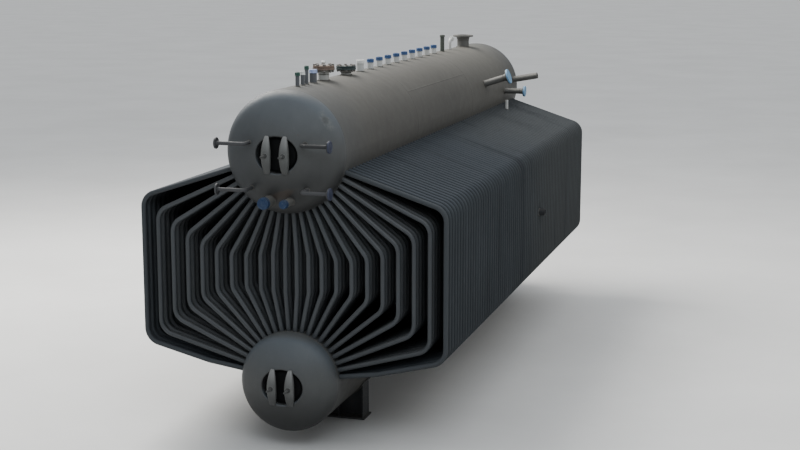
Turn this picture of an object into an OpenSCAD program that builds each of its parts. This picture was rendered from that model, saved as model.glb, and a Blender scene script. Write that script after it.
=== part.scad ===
// Pressure part of a two-drum water-tube boiler, without its casing.
// A steam drum above and a mud drum below are joined by columns of bent
// tubes that fan out from drum to drum, eleven columns on each side. The
// outermost column on each side is a welded tube wall. The mud drum
// stands on two saddles. X is across, Y runs along the drums with the
// manhole end that carries the level gauge nozzles at -Y, Z is up, and
// the floor is at z = 0. All sizes are in millimetres.

/* [Drums] */
// Outer diameter of the steam drum
steam_d = 1236; // [1180:2:1260]
// Wall thickness of the steam drum
steam_wall = 18; // [12:1:28]
// Outer diameter of the mud drum
mud_d = 1032; // [980:2:1060]
// Wall thickness of the mud drum
mud_wall = 16; // [12:1:24]
// Height between the two drum axes
drum_rise = 2360; // [2300:10:2500]
// Gap between the mud drum and the floor
mud_clear = 180; // [160:5:240]
// Thickness of the dished heads
head_wall = 20; // [14:1:28]
// Straight skirt of a dished head
head_skirt = 25; // [20:5:40]

/* [Tube bank] */
// Outer diameter of the tubes, and so the thickness of a column
tube_d = 51; // [38:1:54]
// Length of the bank, first tube row to last
bank_l = 7630; // [6000:10:8000]
// Centre-line radius of the tube bends
bend_r = 160; // [120:5:170]
// Distance of the first column from the middle
col_1 = 62; // [58:1:66]
// Distance of the second column from the middle
col_2 = 190; // [184:1:196]
// Distance of the third column from the middle
col_3 = 328; // [320:1:336]
// Distance of the fourth column from the middle
col_4 = 484; // [474:1:490]
// Spacing of the columns outside the fourth
col_pitch = 162; // [158:1:164]
// Angle between columns around the steam drum
steam_step = 6.845; // [6.7:0.005:6.95]
// Angle between columns around the mud drum
mud_step = 7.8; // [7.6:0.05:7.9]

/* [Drum ends] */
// Shell that stands out past the first tube row
front_over = 75; // [70:5:120]
// Shell that stands out past the last tube row
rear_over = 185; // [150:5:250]
// Width of the oval manhole
man_w = 430; // [400:10:440]
// Height of the oval manhole
man_h = 360; // [320:10:370]
// Height of the manhole yokes in front of the crown
yoke_rise = 45; // [35:1:60]

/* [Nozzles] */
// Outer diameter of the riser stubs on the drum crown
riser_d = 70; // [50:1:76]
// Height of the riser stubs above the crown
riser_h = 95; // [70:1:120]
// First riser stub of the even row, from the first tube row
riser_y = 2640; // [2560:10:2700]
// Spacing of the riser stubs
riser_pitch = 345; // [335:5:350]
// Inner diameter of the steam outlet
outlet_id = 154; // [140:1:158]
// Bolt circle of the steam outlet flange
outlet_pcd = 240; // [235:1:245]
// Bore of the open water inlet on the right side
inlet_id = 78; // [60:1:80]

/* [Supports] */
// Length of a saddle's base plate across the boiler
saddle_w = 900; // [800:10:960]
// Width of a saddle along the drum
saddle_l = 260; // [200:10:320]
// Diameter of the anchor holes
anchor_d = 26; // [18:1:32]
// Distance of each saddle from the end tube row
saddle_in = 1100; // [700:50:1800]

/* [Hidden] */
$fn = 72;

R1 = steam_d / 2;
R2 = mud_d / 2;
z2 = mud_clear + R2;
z1 = z2 + drum_rise;
gap = 0.3;
// shape of a dished head of outer radius r
function crown_r(r) = 1.6 * r;
function knuckle_r(r) = 0.308 * r;
function head_c(r) = sqrt(pow(crown_r(r) - knuckle_r(r), 2) - pow(r - knuckle_r(r), 2));
function head_depth(r) = crown_r(r) - head_c(r);
// first tube row, with the whole length centred on the origin
y0 = -(bank_l + rear_over - front_over) / 2;
y1 = y0 + bank_l;

// ---- tube columns ----
function col_x(k) = k == 1 ? col_1 : k == 2 ? col_2 : k == 3 ? col_3 : col_4 + col_pitch * (k - 4);
function steam_a(k) = steam_step * (k - 0.5);
function mud_a(k) = mud_step * (k - 0.5);
knee_x = 915;
// corners of column k in the XZ plane, from the steam drum to the mud drum
function way(k) = let (x = col_x(k), a = steam_a(k), b = mud_a(k))
  concat(
    [[(R1 + gap) * sin(a), z1 - (R1 + gap) * cos(a)], [x, z1 - x / tan(a)]],
    k < 11 ? [[x, z2 + x / tan(b)]]
           : [[x, z2 + knee_x / tan(b) + (x - knee_x) / 4], [knee_x, z2 + knee_x / tan(b)]],
    [[(R2 + gap) * sin(b), z2 + (R2 + gap) * cos(b)]]);
function ang(v) = atan2(v[1], v[0]);
function wrap(a) = a > 180 ? a - 360 : a < -180 ? a + 360 : a;
function turn(w, i) = wrap(ang(w[i + 1] - w[i]) - ang(w[i] - w[i - 1]));
function unit(v) = v / norm(v);
bend_n = 8;
// points of the centre line with rounded corners, each with its heading
function line_pts(w) = let (n = len(w)) concat(
  [[w[0], ang(w[1] - w[0])]],
  [for (i = [1 : n - 2]) let (t = turn(w, i), u = unit(w[i] - w[i - 1]), s = sign(t),
      p = w[i] - u * bend_r * tan(abs(t) / 2), c = p + s * bend_r * [-u[1], u[0]])
    for (j = [0 : bend_n]) let (h = ang(u) + t * j / bend_n)
      [c + s * bend_r * [sin(h), -cos(h)], h]],
  [[w[n - 1], ang(w[n - 1] - w[n - 2])]]);
module column(k) {
  L = line_pts(way(k)); n = len(L); e = tube_d / 2;
  a = [for (q = L) q[0] + e * [-sin(q[1]), cos(q[1])]];
  b = [for (i = [n - 1 : -1 : 0]) L[i][0] - e * [-sin(L[i][1]), cos(L[i][1])]];
  translate([0, y1 + tube_d / 2, 0]) rotate([90, 0, 0]) linear_extrude(bank_l + tube_d) polygon(concat(a, b));
}
module right_side_wall() { color([0.33, 0.35, 0.36]) column(11); }
module left_side_wall() { color([0.33, 0.35, 0.36]) mirror([1, 0, 0]) column(11); }
module right_outer_tubes() { color([0.27, 0.29, 0.31]) for (k = [6 : 10]) column(k); }
module left_outer_tubes() { color([0.27, 0.29, 0.31]) mirror([1, 0, 0]) for (k = [6 : 10]) column(k); }
module right_inner_tubes() { color([0.25, 0.27, 0.29]) for (k = [1 : 5]) column(k); }
module left_inner_tubes() { color([0.25, 0.27, 0.29]) mirror([1, 0, 0]) for (k = [1 : 5]) column(k); }

// ---- dished heads and manholes, drawn along +Z from the end of the skirt's curve ----
function dish(r, t) = let (a = r - t, rk = knuckle_r(r) - t, rc = crown_r(r) - t, c = head_c(r),
    b0 = asin((r - knuckle_r(r)) / (crown_r(r) - knuckle_r(r))))
  concat([for (i = [0 : 8]) let (q = (90 - b0) * i / 8) [a - rk + rk * cos(q), rk * sin(q)]],
         [for (i = [1 : 8]) let (q = b0 * (1 - i / 8)) [rc * sin(q), rc * cos(q) - c]]);
module oval(w, h, n = 48) { polygon([for (i = [0 : n - 1]) [w / 2 * cos(360 * i / n), h / 2 * sin(360 * i / n)]]); }
module dished_head(r) {
  d = head_depth(r);
  difference() {
    rotate_extrude($fn = 144) polygon(concat([[0, -head_skirt], [r, -head_skirt]], dish(r, 0)));
    // hollow inside, apart from the turned-in edge of the manhole
    difference() {
      rotate_extrude($fn = 144) polygon(concat([[0, -head_skirt - 5], [r - head_wall, -head_skirt - 5]], dish(r, head_wall)));
      translate([0, 0, d - 75]) linear_extrude(100) oval(man_w + 56, man_h + 56);
    }
    translate([0, 0, d - 120]) linear_extrude(200) oval(man_w, man_h);
  }
}
module manhole_cover(r) { translate([0, 0, head_depth(r) - 75 - 30]) linear_extrude(29) oval(man_w + 44, man_h + 44); }
// a yoke is widest in the middle, stands on the crown above and below the hole, and has a stud and nut
bow_w = 98; bow_end = 40; bow_x = 93; bow_h = man_h / 2 + 10; bow_drop = 56;
bow_r = (pow(bow_h, 2) + pow((bow_w - bow_end) / 2, 2)) / (bow_w - bow_end);
stud_d = 24; stud_end = round(head_depth(R1)) - head_depth(R1) + 146;
module yoke(r) {
  top = head_depth(r) + yoke_rise;
  ro = (bow_h * bow_h + bow_drop * bow_drop) / (2 * bow_drop);
  difference() {
    intersection() {
      translate([0, 0, top - ro]) rotate([0, 90, 0]) cylinder(h = 120, r = ro, center = true, $fn = 96);
      translate([-60, -bow_h, top - 110]) cube([120, 2 * bow_h, 120]);
      translate([bow_w / 2 - bow_r, 0, top - 110]) cylinder(h = 120, r = bow_r, $fn = 360);
      translate([bow_r - bow_w / 2, 0, top - 110]) cylinder(h = 120, r = bow_r, $fn = 360);
    }
    translate([0, 0, top - 120]) cylinder(h = 200, d = stud_d + 3);
  }
}
module yoke_stud(r) {
  d = head_depth(r);
  translate([0, 0, d - 76 + gap]) cylinder(h = stud_end + 76 - gap, d = stud_d);
  translate([0, 0, d + yoke_rise + gap]) linear_extrude(22) polygon([for (i = [0 : 5]) [21 * cos(60 * i), 21 * sin(60 * i)]]);
}
module yokes(r) {
  for (s = [-1, 1]) {
    difference() {
      translate([s * bow_x, 0, 0]) yoke(r);
      translate([0, 0, -head_c(r)]) sphere(r = crown_r(r) + gap, $fn = 200);
    }
    translate([s * bow_x, 0, 0]) yoke_stud(r);
  }
}
module front_end(z) { translate([0, y0 - front_over, z]) rotate([90, 0, 0]) children(); }
module rear_end(z) { translate([0, y1 + rear_over, z]) rotate([-90, 0, 0]) children(); }
module drum_shell(r, t, z) {
  L = bank_l + front_over + rear_over - 2 * head_skirt;
  translate([0, y0 - front_over + head_skirt, z]) rotate([-90, 0, 0]) difference() {
    cylinder(h = L, r = r, $fn = 144);
    translate([0, 0, -5]) cylinder(h = L + 10, r = r - t, $fn = 144);
  }
}

// ---- nozzles on the steam drum ----
// moves to station y and turns +Z to angle a above the right horizontal
module on_drum(y, a) { translate([0, y0 + y, z1]) rotate([0, 90 - a, 0]) children(); }
module drum_space(y) { translate([0, y0 + y - 400, z1]) rotate([-90, 0, 0]) cylinder(h = 800, r = R1 + gap, $fn = 144); }
// pipe of length h from the drum's surface, with its foot cut to the drum
module stub(y, a, d, id, h) {
  difference() {
    on_drum(y, a) translate([0, 0, R1 - 30]) cylinder(h = h + 30, d = d);
    on_drum(y, a) translate([0, 0, R1 - 60]) cylinder(h = h + 120, d = id);
    drum_space(y);
  }
}
module cap(d, t, hub) { cylinder(h = t, d = d); }
outlet_y = 6995;
open_y = 7600;
open_a = 10.5;

module steam_drum_shell() {
  color([0.42, 0.43, 0.42]) difference() {
    drum_shell(R1, steam_wall, z1);
    // tapered holes, a little wider than the pipe's bore
    on_drum(outlet_y, 90) translate([0, 0, R1 - 120]) cylinder(h = 240, d1 = outlet_id + 8, d2 = outlet_id + 2);
    on_drum(open_y, open_a) translate([0, 0, R1 - 120]) cylinder(h = 240, d1 = inlet_id + 5, d2 = inlet_id + 1);
  }
}
module steam_drum_front_head() { color([0.42, 0.44, 0.45]) front_end(z1) dished_head(R1); }
module steam_drum_rear_head() { color([0.42, 0.44, 0.45]) rear_end(z1) dished_head(R1); }
module front_manhole_cover() { color([0.2, 0.21, 0.22]) front_end(z1) manhole_cover(R1); }
module front_manhole_yokes() { color([0.5, 0.51, 0.5]) front_end(z1) yokes(R1); }
module rear_manhole_cover() { color([0.2, 0.21, 0.22]) rear_end(z1) manhole_cover(R1); }
module rear_manhole_yokes() { color([0.5, 0.51, 0.5]) rear_end(z1) yokes(R1); }
module mud_drum_shell() { color([0.42, 0.43, 0.42]) drum_shell(R2, mud_wall, z2); }
module mud_drum_front_head() { color([0.42, 0.44, 0.45]) front_end(z2) dished_head(R2); }
module mud_drum_rear_head() { color([0.42, 0.44, 0.45]) rear_end(z2) dished_head(R2); }
module mud_front_manhole_cover() { color([0.2, 0.21, 0.22]) front_end(z2) manhole_cover(R2); }
module mud_front_manhole_yokes() { color([0.5, 0.51, 0.5]) front_end(z2) yokes(R2); }
module mud_rear_manhole_cover() { color([0.2, 0.21, 0.22]) rear_end(z2) manhole_cover(R2); }
module mud_rear_manhole_yokes() { color([0.5, 0.51, 0.5]) rear_end(z2) yokes(R2); }

// level gauge pipes: out of the head, round an elbow and sideways to a flange
gauge_x = 290; gauge_up = 115; gauge_down = -340; gauge_out = 86; gauge_reach = 590; gauge_d = 38;
gauge_id = 28; gauge_flange_d = 115; gauge_bend = 50;
function head_h(r, q) = sqrt(pow(crown_r(r), 2) - q * q) - head_c(r);
module gauge_pipe(up) {
  q = norm([gauge_x, up]);
  top = round(head_depth(R1)) + gauge_out;
  low = round(head_h(R1, q)) - 12;
  difference() {
    union() {
      translate([gauge_x, up, low]) cylinder(h = top - gauge_bend - low, d = gauge_d);
      translate([gauge_x + gauge_bend, up, top - gauge_bend]) rotate([90, 0, 0])
        rotate_extrude(angle = 90, start = 90) translate([gauge_bend, 0]) circle(d = gauge_d);
      translate([gauge_x + gauge_bend, up, top]) rotate([0, 90, 0]) cylinder(h = gauge_reach - gauge_x - gauge_bend, d = gauge_d);
      translate([gauge_reach - 18, up, top]) rotate([0, 90, 0]) cylinder(h = 18, d = gauge_flange_d);
    }
    translate([gauge_reach - 120, up, top]) rotate([0, 90, 0]) cylinder(h = 140, d = gauge_id);
    translate([gauge_reach - 30, up, top]) rotate([0, 90, 0])
      for (i = [0 : 3]) rotate([0, 0, 45 + 90 * i]) translate([42.5, 0, 0]) cylinder(h = 40, d = 14);
    // foot cut to the head's crown
    translate([0, 0, -head_c(R1)]) sphere(r = crown_r(R1) + gap, $fn = 200);
  }
}
module level_gauge_nozzles() {
  color([0.4, 0.41, 0.41]) front_end(z1) for (m = [0, 1]) mirror([m, 0, 0]) for (u = [gauge_up, gauge_down]) gauge_pipe(u);
}
module gauge_flange_covers() {
  color([0.28, 0.38, 0.5]) front_end(z1) for (u = [gauge_up, gauge_down])
    translate([gauge_reach + gap, u, round(head_depth(R1)) + gauge_out]) rotate([0, 90, 0]) cylinder(h = 10, d = gauge_flange_d + 5);
}

// two plain stubs low on the front head, with push-on caps
feed_x = 105; feed_z = -466; feed_end = 66;
module head_feed_stubs() {
  color([0.4, 0.41, 0.41]) front_end(z1) for (s = [-1, 1]) difference() {
    translate([s * feed_x, feed_z, 40]) cylinder(h = head_depth(R1) + feed_end - 40, d = s < 0 ? 108 : 76);
    translate([0, 0, -head_c(R1)]) sphere(r = crown_r(R1) + gap, $fn = 200);
  }
}
module head_stub_caps() {
  color([0.22, 0.38, 0.6]) front_end(z1) for (s = [-1, 1])
    translate([s * feed_x, feed_z, head_depth(R1) + feed_end + gap]) cylinder(h = 22, d = s < 0 ? 124 : 90);
}

// small stubs on the crown near the front: station, diameter, height
vents = [[250, 42, 125], [400, 42, 125], [515, 38, 170], [710, 76, 120]];
module vent_stubs() { color([0.55, 0.56, 0.54]) for (v = vents) stub(v[0], 90, v[1], v[1] - 12, v[2]); }
module vent_caps() {
  color([0.25, 0.34, 0.3]) for (v = vents)
    on_drum(v[0], 90) translate([0, 0, R1 + v[2] + gap]) cylinder(h = 18, d = v[1] + 14);
}
module flange(d, t, pcd, n, hole) {
  difference() {
    cylinder(h = t, d = d);
    for (i = [0 : n - 1]) rotate([0, 0, 360 / n * (i + 0.5)]) translate([pcd / 2, 0, -1]) cylinder(h = t + 2, d = hole);
  }
}
module flanged(y, a, d, id, h, fd, t, pcd, n, hole) {
  difference() {
    union() {
      on_drum(y, a) translate([0, 0, R1 - 30]) cylinder(h = h + 30, d = d);
      on_drum(y, a) translate([0, 0, R1 + h - t]) flange(fd, t, pcd, n, hole);
    }
    on_drum(y, a) translate([0, 0, R1 - 60]) cylinder(h = h + 120, d = id);
    drum_space(y);
  }
}
module safety_valve_nozzle() { color([0.6, 0.6, 0.58]) flanged(1035, 90, 114, 98, 135, 235, 24, 190, 8, 22); }
module safety_valve_blank() {
  color([0.55, 0.5, 0.46]) on_drum(1035, 90) {
    translate([0, 0, R1 + 135 + gap]) cylinder(h = 20, d = 225);
    translate([0, 0, R1 + 135 + gap + 19]) cylinder(h = 50, d = 48);
  }
}
module low_nozzle() { color([0.4, 0.41, 0.4]) flanged(1765, 90, 114, 98, 80, 220, 22, 180, 8, 18); }
module low_nozzle_blank() { color([0.2, 0.25, 0.25]) on_drum(1765, 90) translate([0, 0, R1 + 80 + gap]) cylinder(h = 22, d = 214); }

// the row of riser stubs, with one a little larger in front of it
function risers() = concat([[2272, riser_d + 10, riser_h + 12]], [for (i = [0 : 8]) [riser_y + riser_pitch * i, riser_d, riser_h]]);
module riser_stubs() { color([0.7, 0.7, 0.67]) for (v = risers()) stub(v[0], 90, v[1], v[1] - 12, v[2]); }
module riser_caps() {
  color([0.3, 0.42, 0.6]) for (v = risers())
    on_drum(v[0], 90) translate([0, 0, R1 + v[2] + gap]) cylinder(h = 22, d = v[1] + 16);
}
module gauge_post() { color([0.4, 0.41, 0.38]) stub(5844, 90, 57, 45, 225); }
module bleed_pipe() {
  y = 6250; h = 100; r = 45;
  color([0.6, 0.6, 0.58]) union() {
    stub(y, 90, 42, 30, h);
    on_drum(y, 90) translate([0, r, R1 + h]) rotate([90, 0, 90]) rotate_extrude(angle = 90, start = 90)
      translate([r, 0]) difference() { circle(d = 42); circle(d = 30); }
    on_drum(y, 90) translate([0, r, R1 + h + r]) rotate([-90, 0, 0]) difference() {
      union() { cylinder(h = 60, d = 42); translate([0, 0, 40]) cylinder(h = 20, d = 72); }
      translate([0, 0, -1]) cylinder(h = 80, d = 30);
    }
  }
}
module steam_outlet() { color([0.42, 0.43, 0.42]) flanged(outlet_y, 90, 168, outlet_id, 168, 285, 26, outlet_pcd, 8, 22); }

module side_inlet_nozzles() {
  color([0.42, 0.43, 0.42]) {
    flanged(5900, 18, 89, 77, 345, 190, 20, 150, 8, 18);
    flanged(7000, 0, 76, 64, 290, 145, 18, 110, 4, 18);
  }
}
module side_inlet_covers() {
  color([0.35, 0.5, 0.62]) {
    on_drum(5900, 18) translate([0, 0, R1 + 345 + gap]) cylinder(h = 12, d = 198);
    on_drum(7000, 0) translate([0, 0, R1 + 290 + gap]) cylinder(h = 12, d = 152);
  }
}
module open_side_inlet() { color([0.42, 0.43, 0.42]) stub(open_y, open_a, 89, inlet_id, 370); }

// short upright stub on the right slope of the tube wall, beside the drum
roof_x = 740;
module roof_stub() {
  color([0.75, 0.74, 0.72]) translate([roof_x, y0 + 6600, z1 - roof_x * tan(90 - steam_a(11)) + tube_d / 2 / sin(steam_a(11)) + 8]) cylinder(h = 115, d = 45);
}
// inspection stubs half way up each side wall
module wall_stubs() {
  color([0.3, 0.31, 0.32]) for (s = [-1, 1])
    translate([s * (col_x(11) + tube_d / 2 + gap), y0 + 4537, z1 - 1298]) rotate([0, s * 90, 0]) difference() {
      cylinder(h = 70, d = 89);
      translate([0, 0, 12]) cylinder(h = 70, d = 76);
    }
}
module blowdown_stub() {
  color([0.4, 0.41, 0.41]) difference() {
    translate([0, y0 + bank_l / 2, z2 - R2 - 95]) cylinder(h = 120, d = 60);
    translate([0, y0 + bank_l / 2, z2 - R2 - 96]) cylinder(h = 140, d = 50);
    translate([0, y0 + bank_l / 2 - 200, z2]) rotate([-90, 0, 0]) cylinder(h = 400, r = R2 + 0.8, $fn = 144);
  }
}

// ---- saddles ----
anchor_x = saddle_w / 2 - 60;
anchor_y = saddle_l / 2 - 45;
module saddle(y) {
  pad = 12; foot = 16;
  translate([0, y, 0]) difference() {
    union() {
      translate([-saddle_w / 2, -saddle_l / 2, 0]) cube([saddle_w, saddle_l, foot]);
      translate([-saddle_w / 2 + 20, -10, foot - 1]) cube([saddle_w - 40, 20, 420]);
      for (x = [-saddle_w / 2 + 27, -150, 150, saddle_w / 2 - 27])
        translate([x - 7, -saddle_l / 2 + 25, foot - 1]) cube([14, saddle_l - 50, 420]);
      translate([0, saddle_l / 2, z2]) rotate([90, 0, 0]) rotate_extrude(angle = 120, start = 210, $fn = 144)
        translate([R2 - 4, 0]) square([pad + 4, saddle_l]);
    }
    translate([0, -400, z2]) rotate([-90, 0, 0]) cylinder(h = 800, r = R2 + gap, $fn = 144);
    translate([-600, -400, z2 - (R2 + pad) / 2]) cube([1200, 800, 600]);
    for (i = [-1, 1]) for (j = [-1, 1]) translate([i * anchor_x, j * anchor_y, -1]) cylinder(h = foot + 2, d = anchor_d);
  }
}
module front_saddle() { color([0.3, 0.31, 0.32]) saddle(y0 + saddle_in); }
module rear_saddle() { color([0.3, 0.31, 0.32]) saddle(y1 - saddle_in); }

steam_drum_shell();
steam_drum_front_head();
steam_drum_rear_head();
front_manhole_cover();
front_manhole_yokes();
rear_manhole_cover();
rear_manhole_yokes();
mud_drum_shell();
mud_drum_front_head();
mud_drum_rear_head();
mud_front_manhole_cover();
mud_front_manhole_yokes();
mud_rear_manhole_cover();
mud_rear_manhole_yokes();
right_side_wall();
left_side_wall();
right_outer_tubes();
left_outer_tubes();
right_inner_tubes();
left_inner_tubes();
level_gauge_nozzles();
gauge_flange_covers();
head_feed_stubs();
head_stub_caps();
vent_stubs();
vent_caps();
safety_valve_nozzle();
safety_valve_blank();
low_nozzle();
low_nozzle_blank();
riser_stubs();
riser_caps();
gauge_post();
bleed_pipe();
steam_outlet();
side_inlet_nozzles();
side_inlet_covers();
open_side_inlet();
roof_stub();
wall_stubs();
blowdown_stub();
front_saddle();
rear_saddle();
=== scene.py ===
import math
import random

import bpy
import numpy as np
from mathutils import Matrix, Vector


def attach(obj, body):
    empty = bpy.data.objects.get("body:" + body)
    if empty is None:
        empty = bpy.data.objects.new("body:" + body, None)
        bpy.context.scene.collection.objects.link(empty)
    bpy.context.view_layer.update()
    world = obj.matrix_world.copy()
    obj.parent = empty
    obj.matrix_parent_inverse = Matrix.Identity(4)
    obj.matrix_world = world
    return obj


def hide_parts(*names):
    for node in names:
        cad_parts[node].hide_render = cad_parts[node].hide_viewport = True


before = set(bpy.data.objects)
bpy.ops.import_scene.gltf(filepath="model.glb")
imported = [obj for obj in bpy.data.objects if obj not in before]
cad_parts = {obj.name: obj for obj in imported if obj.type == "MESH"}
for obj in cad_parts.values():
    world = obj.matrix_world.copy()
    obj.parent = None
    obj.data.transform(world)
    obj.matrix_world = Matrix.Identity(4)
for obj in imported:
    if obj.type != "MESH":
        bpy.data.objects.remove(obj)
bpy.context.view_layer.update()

# ------------------------------------------------------------------ sizes, in metres
R1, R2 = 0.618, 0.516            # drum radii
Z2, Z1 = 0.696, 3.056            # drum axes
Y0, Y1 = -3.870, 3.760           # first and last tube row
ROWS = 71
PITCH = (Y1 - Y0) / (ROWS - 1)
TR = 0.0255                      # tube radius
BEND = 0.160
COLS = [0.062, 0.190, 0.328] + [0.484 + 0.162 * i for i in range(8)]
FRONT, REAR = Y0 - 0.075, Y1 + 0.185   # where the heads start to curve
SKIRT = 0.025
SHELL_T = 0.018

# ------------------------------------------------------------------ camera
cam_data = bpy.data.cameras.new("camera")
cam = bpy.data.objects.new("camera", cam_data)
bpy.context.scene.collection.objects.link(cam)
CAM_POS = Vector((5.2059, -17.432, 4.9794))
CAM_AIM = Vector((-0.04, 0.10, 1.60))
cam_data.sensor_width = 36.0
cam_data.lens = 66.0
cam_data.clip_end = 2000.0
cam_data.dof.use_dof = False
cam.location = CAM_POS
cam.rotation_euler = (CAM_AIM - CAM_POS).to_track_quat("-Z", "Y").to_euler()
bpy.context.scene.camera = cam


# ------------------------------------------------------------------ mesh helpers
class Geo:
    """Collects vertices and faces of one piece, with a tone for each vertex."""

    def __init__(self):
        self.v, self.f, self.t, self.n = [], [], [], 0

    def add(self, vf, M=None, tone=0.5):
        v, f = vf
        v = np.asarray(v, float)
        if M is not None:
            A = np.array(M, float)
            v = v @ A[:3, :3].T + A[:3, 3]
            if np.linalg.det(A[:3, :3]) < 0:
                f = [tuple(reversed(q)) for q in f]
        self.v.append(v)
        k = self.n
        self.f.extend([tuple(i + k for i in q) for q in f])
        self.t.append(np.full(len(v), tone) if np.isscalar(tone) else np.asarray(tone))
        self.n += len(v)
        return self

    def make(self, name, mat, slot=None, nodes=(), sharp=38.0, modifiers=()):
        me = bpy.data.meshes.new(name)
        v = np.concatenate(self.v)
        sizes = np.array([len(q) for q in self.f])
        me.vertices.add(len(v))
        me.vertices.foreach_set("co", v.astype(np.float32).ravel())
        me.loops.add(int(sizes.sum()))
        me.loops.foreach_set("vertex_index", np.fromiter((i for q in self.f for i in q), np.int32))
        me.polygons.add(len(sizes))
        me.polygons.foreach_set("loop_start", np.concatenate([[0], np.cumsum(sizes)[:-1]]).astype(np.int32))
        me.polygons.foreach_set("use_smooth", np.ones(len(sizes), bool))
        me.update(calc_edges=True)
        me.validate()
        a = me.attributes.new("tone", "FLOAT", "POINT")
        a.data.foreach_set("value", np.concatenate(self.t).astype(np.float32))
        me.set_sharp_from_angle(angle=math.radians(sharp))
        ob = bpy.data.objects.new(name, me)
        bpy.context.scene.collection.objects.link(ob)
        me.materials.append(mat)
        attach(ob, "root")
        if nodes:
            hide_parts(*nodes)
        return ob


def lathe(profile, n=48, flute=None, turn=0.0):
    """Turns (radius, height) points about +Z. Points run up the outside and back down a bore."""
    v, f, rows = [], [], []
    for i, (r, z) in enumerate(profile):
        if r < 1e-7:
            rows.append([len(v)])
            v.append((0, 0, z))
            continue
        row = []
        for j in range(n):
            a = 2 * math.pi * j / n + turn
            q = r
            if flute and i in flute[0] and j % 2:
                q = r - flute[1]
            row.append(len(v))
            v.append((q * math.cos(a), q * math.sin(a), z))
        rows.append(row)
    for a, b in zip(rows[:-1], rows[1:]):
        if len(a) == 1 and len(b) == 1:
            continue
        for j in range(n):
            k = (j + 1) % n
            if len(a) == 1:
                f.append((a[0], b[k], b[j]))
            elif len(b) == 1:
                f.append((a[j], a[k], b[0]))
            else:
                f.append((a[j], a[k], b[k], b[j]))
    return v, f


def ring(profile, n=48):
    """A closed section turned about +Z."""
    m = len(profile)
    v = [(r * math.cos(2 * math.pi * j / n), r * math.sin(2 * math.pi * j / n), z)
         for r, z in profile for j in range(n)]
    f = []
    for i in range(m):
        a, b = i * n, (i + 1) % m * n
        for j in range(n):
            k = (j + 1) % n
            f.append((a + j, a + k, b + k, b + j))
    return v, f


def sweep(points, radius, n=12, closed=False, caps=True):
    """A round bar along points. radius is one number or one for each point."""
    P = np.asarray(points, float)
    m = len(P)
    rad = np.full(m, radius) if np.isscalar(radius) else np.asarray(radius, float)
    if closed:
        T = np.roll(P, -1, 0) - np.roll(P, 1, 0)
    else:
        T = np.gradient(P, axis=0)
    T /= np.linalg.norm(T, axis=1)[:, None]
    ref = np.array([0, 0, 1.0]) if abs(T[0][2]) < 0.9 else np.array([0, 1.0, 0])
    u = np.cross(T[0], ref)
    u /= np.linalg.norm(u)
    U = [u]
    for i in range(1, m):
        u = U[-1] - T[i] * np.dot(U[-1], T[i])
        U.append(u / np.linalg.norm(u))
    U = np.array(U)
    W = np.cross(T, U)
    twist = 0.0
    if closed:
        last = U[-1] - T[0] * np.dot(U[-1], T[0])
        last /= np.linalg.norm(last)
        twist = math.atan2(np.dot(np.cross(last, U[0]), T[0]), np.dot(last, U[0]))
    v = []
    for i in range(m):
        for j in range(n):
            a = 2 * math.pi * j / n + twist * i / m
            v.append(P[i] + rad[i] * (math.cos(a) * U[i] + math.sin(a) * W[i]))
    f = []
    for i in range(m if closed else m - 1):
        a, b = i * n, (i + 1) % m * n
        for j in range(n):
            k = (j + 1) % n
            f.append((a + j, a + k, b + k, b + j))
    if not closed and caps:
        f.append(tuple(reversed(range(n))))
        f.append(tuple(range((m - 1) * n, m * n)))
    return v, f


def inset(poly, d):
    """The polygon with each side moved in by d. It runs counter-clockwise."""
    P = np.asarray(poly, float)
    n = len(P)
    out = []
    for i in range(n):
        a, b, c = P[i - 1], P[i], P[(i + 1) % n]
        u, w = (b - a) / np.linalg.norm(b - a), (c - b) / np.linalg.norm(c - b)
        nu, nw = np.array([-u[1], u[0]]), np.array([-w[1], w[0]])
        k = nu + nw
        k /= max(0.25, np.dot(k, nu))
        out.append(b + k * d)
    return np.array(out)


def prism(poly, h, bevel=0.002):
    """A plate with that outline from z = 0 to h, its edges broken."""
    P = np.asarray(poly, float)
    Q = inset(P, bevel)
    n = len(P)
    levels = [(Q, 0), (P, bevel), (P, h - bevel), (Q, h)]
    v = [(p[0], p[1], z) for L, z in levels for p in L]
    f = [tuple(reversed(range(n)))]
    for i in range(3):
        for j in range(n):
            k = (j + 1) % n
            f.append((i * n + j, i * n + k, (i + 1) * n + k, (i + 1) * n + j))
    f.append(tuple(range(3 * n, 4 * n)))
    return v, f


def box(x0, x1, y0, y1, z0, z1, bevel=0.002):
    v, f = prism([(x0, y0), (x1, y0), (x1, y1), (x0, y1)], z1 - z0, bevel)
    return [(a, b, c + z0) for a, b, c in v], f


def move(x=0, y=0, z=0):
    return Matrix.Translation((x, y, z))


def nut(af, h, hole=0.0, n=6):
    """A hexagon nut with its corners turned down, standing on z = 0."""
    rc = af / 2 / math.cos(math.pi / 6)
    c = (rc - af / 2) * 0.58
    pts = []
    m = 24
    v, f = [], []
    levels = [(0.0, 0), (c, 1), (h - c, 1), (h, 0)]
    for z, full in levels:
        for j in range(m):
            a = 2 * math.pi * j / m
            q = (a + math.pi / 6) % (math.pi / 3) - math.pi / 6
            flat = af / 2 / math.cos(q)
            r = min(flat, af / 2 * 0.985) if not full else flat
            v.append((r * math.cos(a), r * math.sin(a), z))
    for i in range(3):
        for j in range(m):
            k = (j + 1) % m
            f.append((i * m + j, i * m + k, (i + 1) * m + k, (i + 1) * m + j))
    f.append(tuple(reversed(range(m))))
    f.append(tuple(range(3 * m, 4 * m)))
    return v, f


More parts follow.
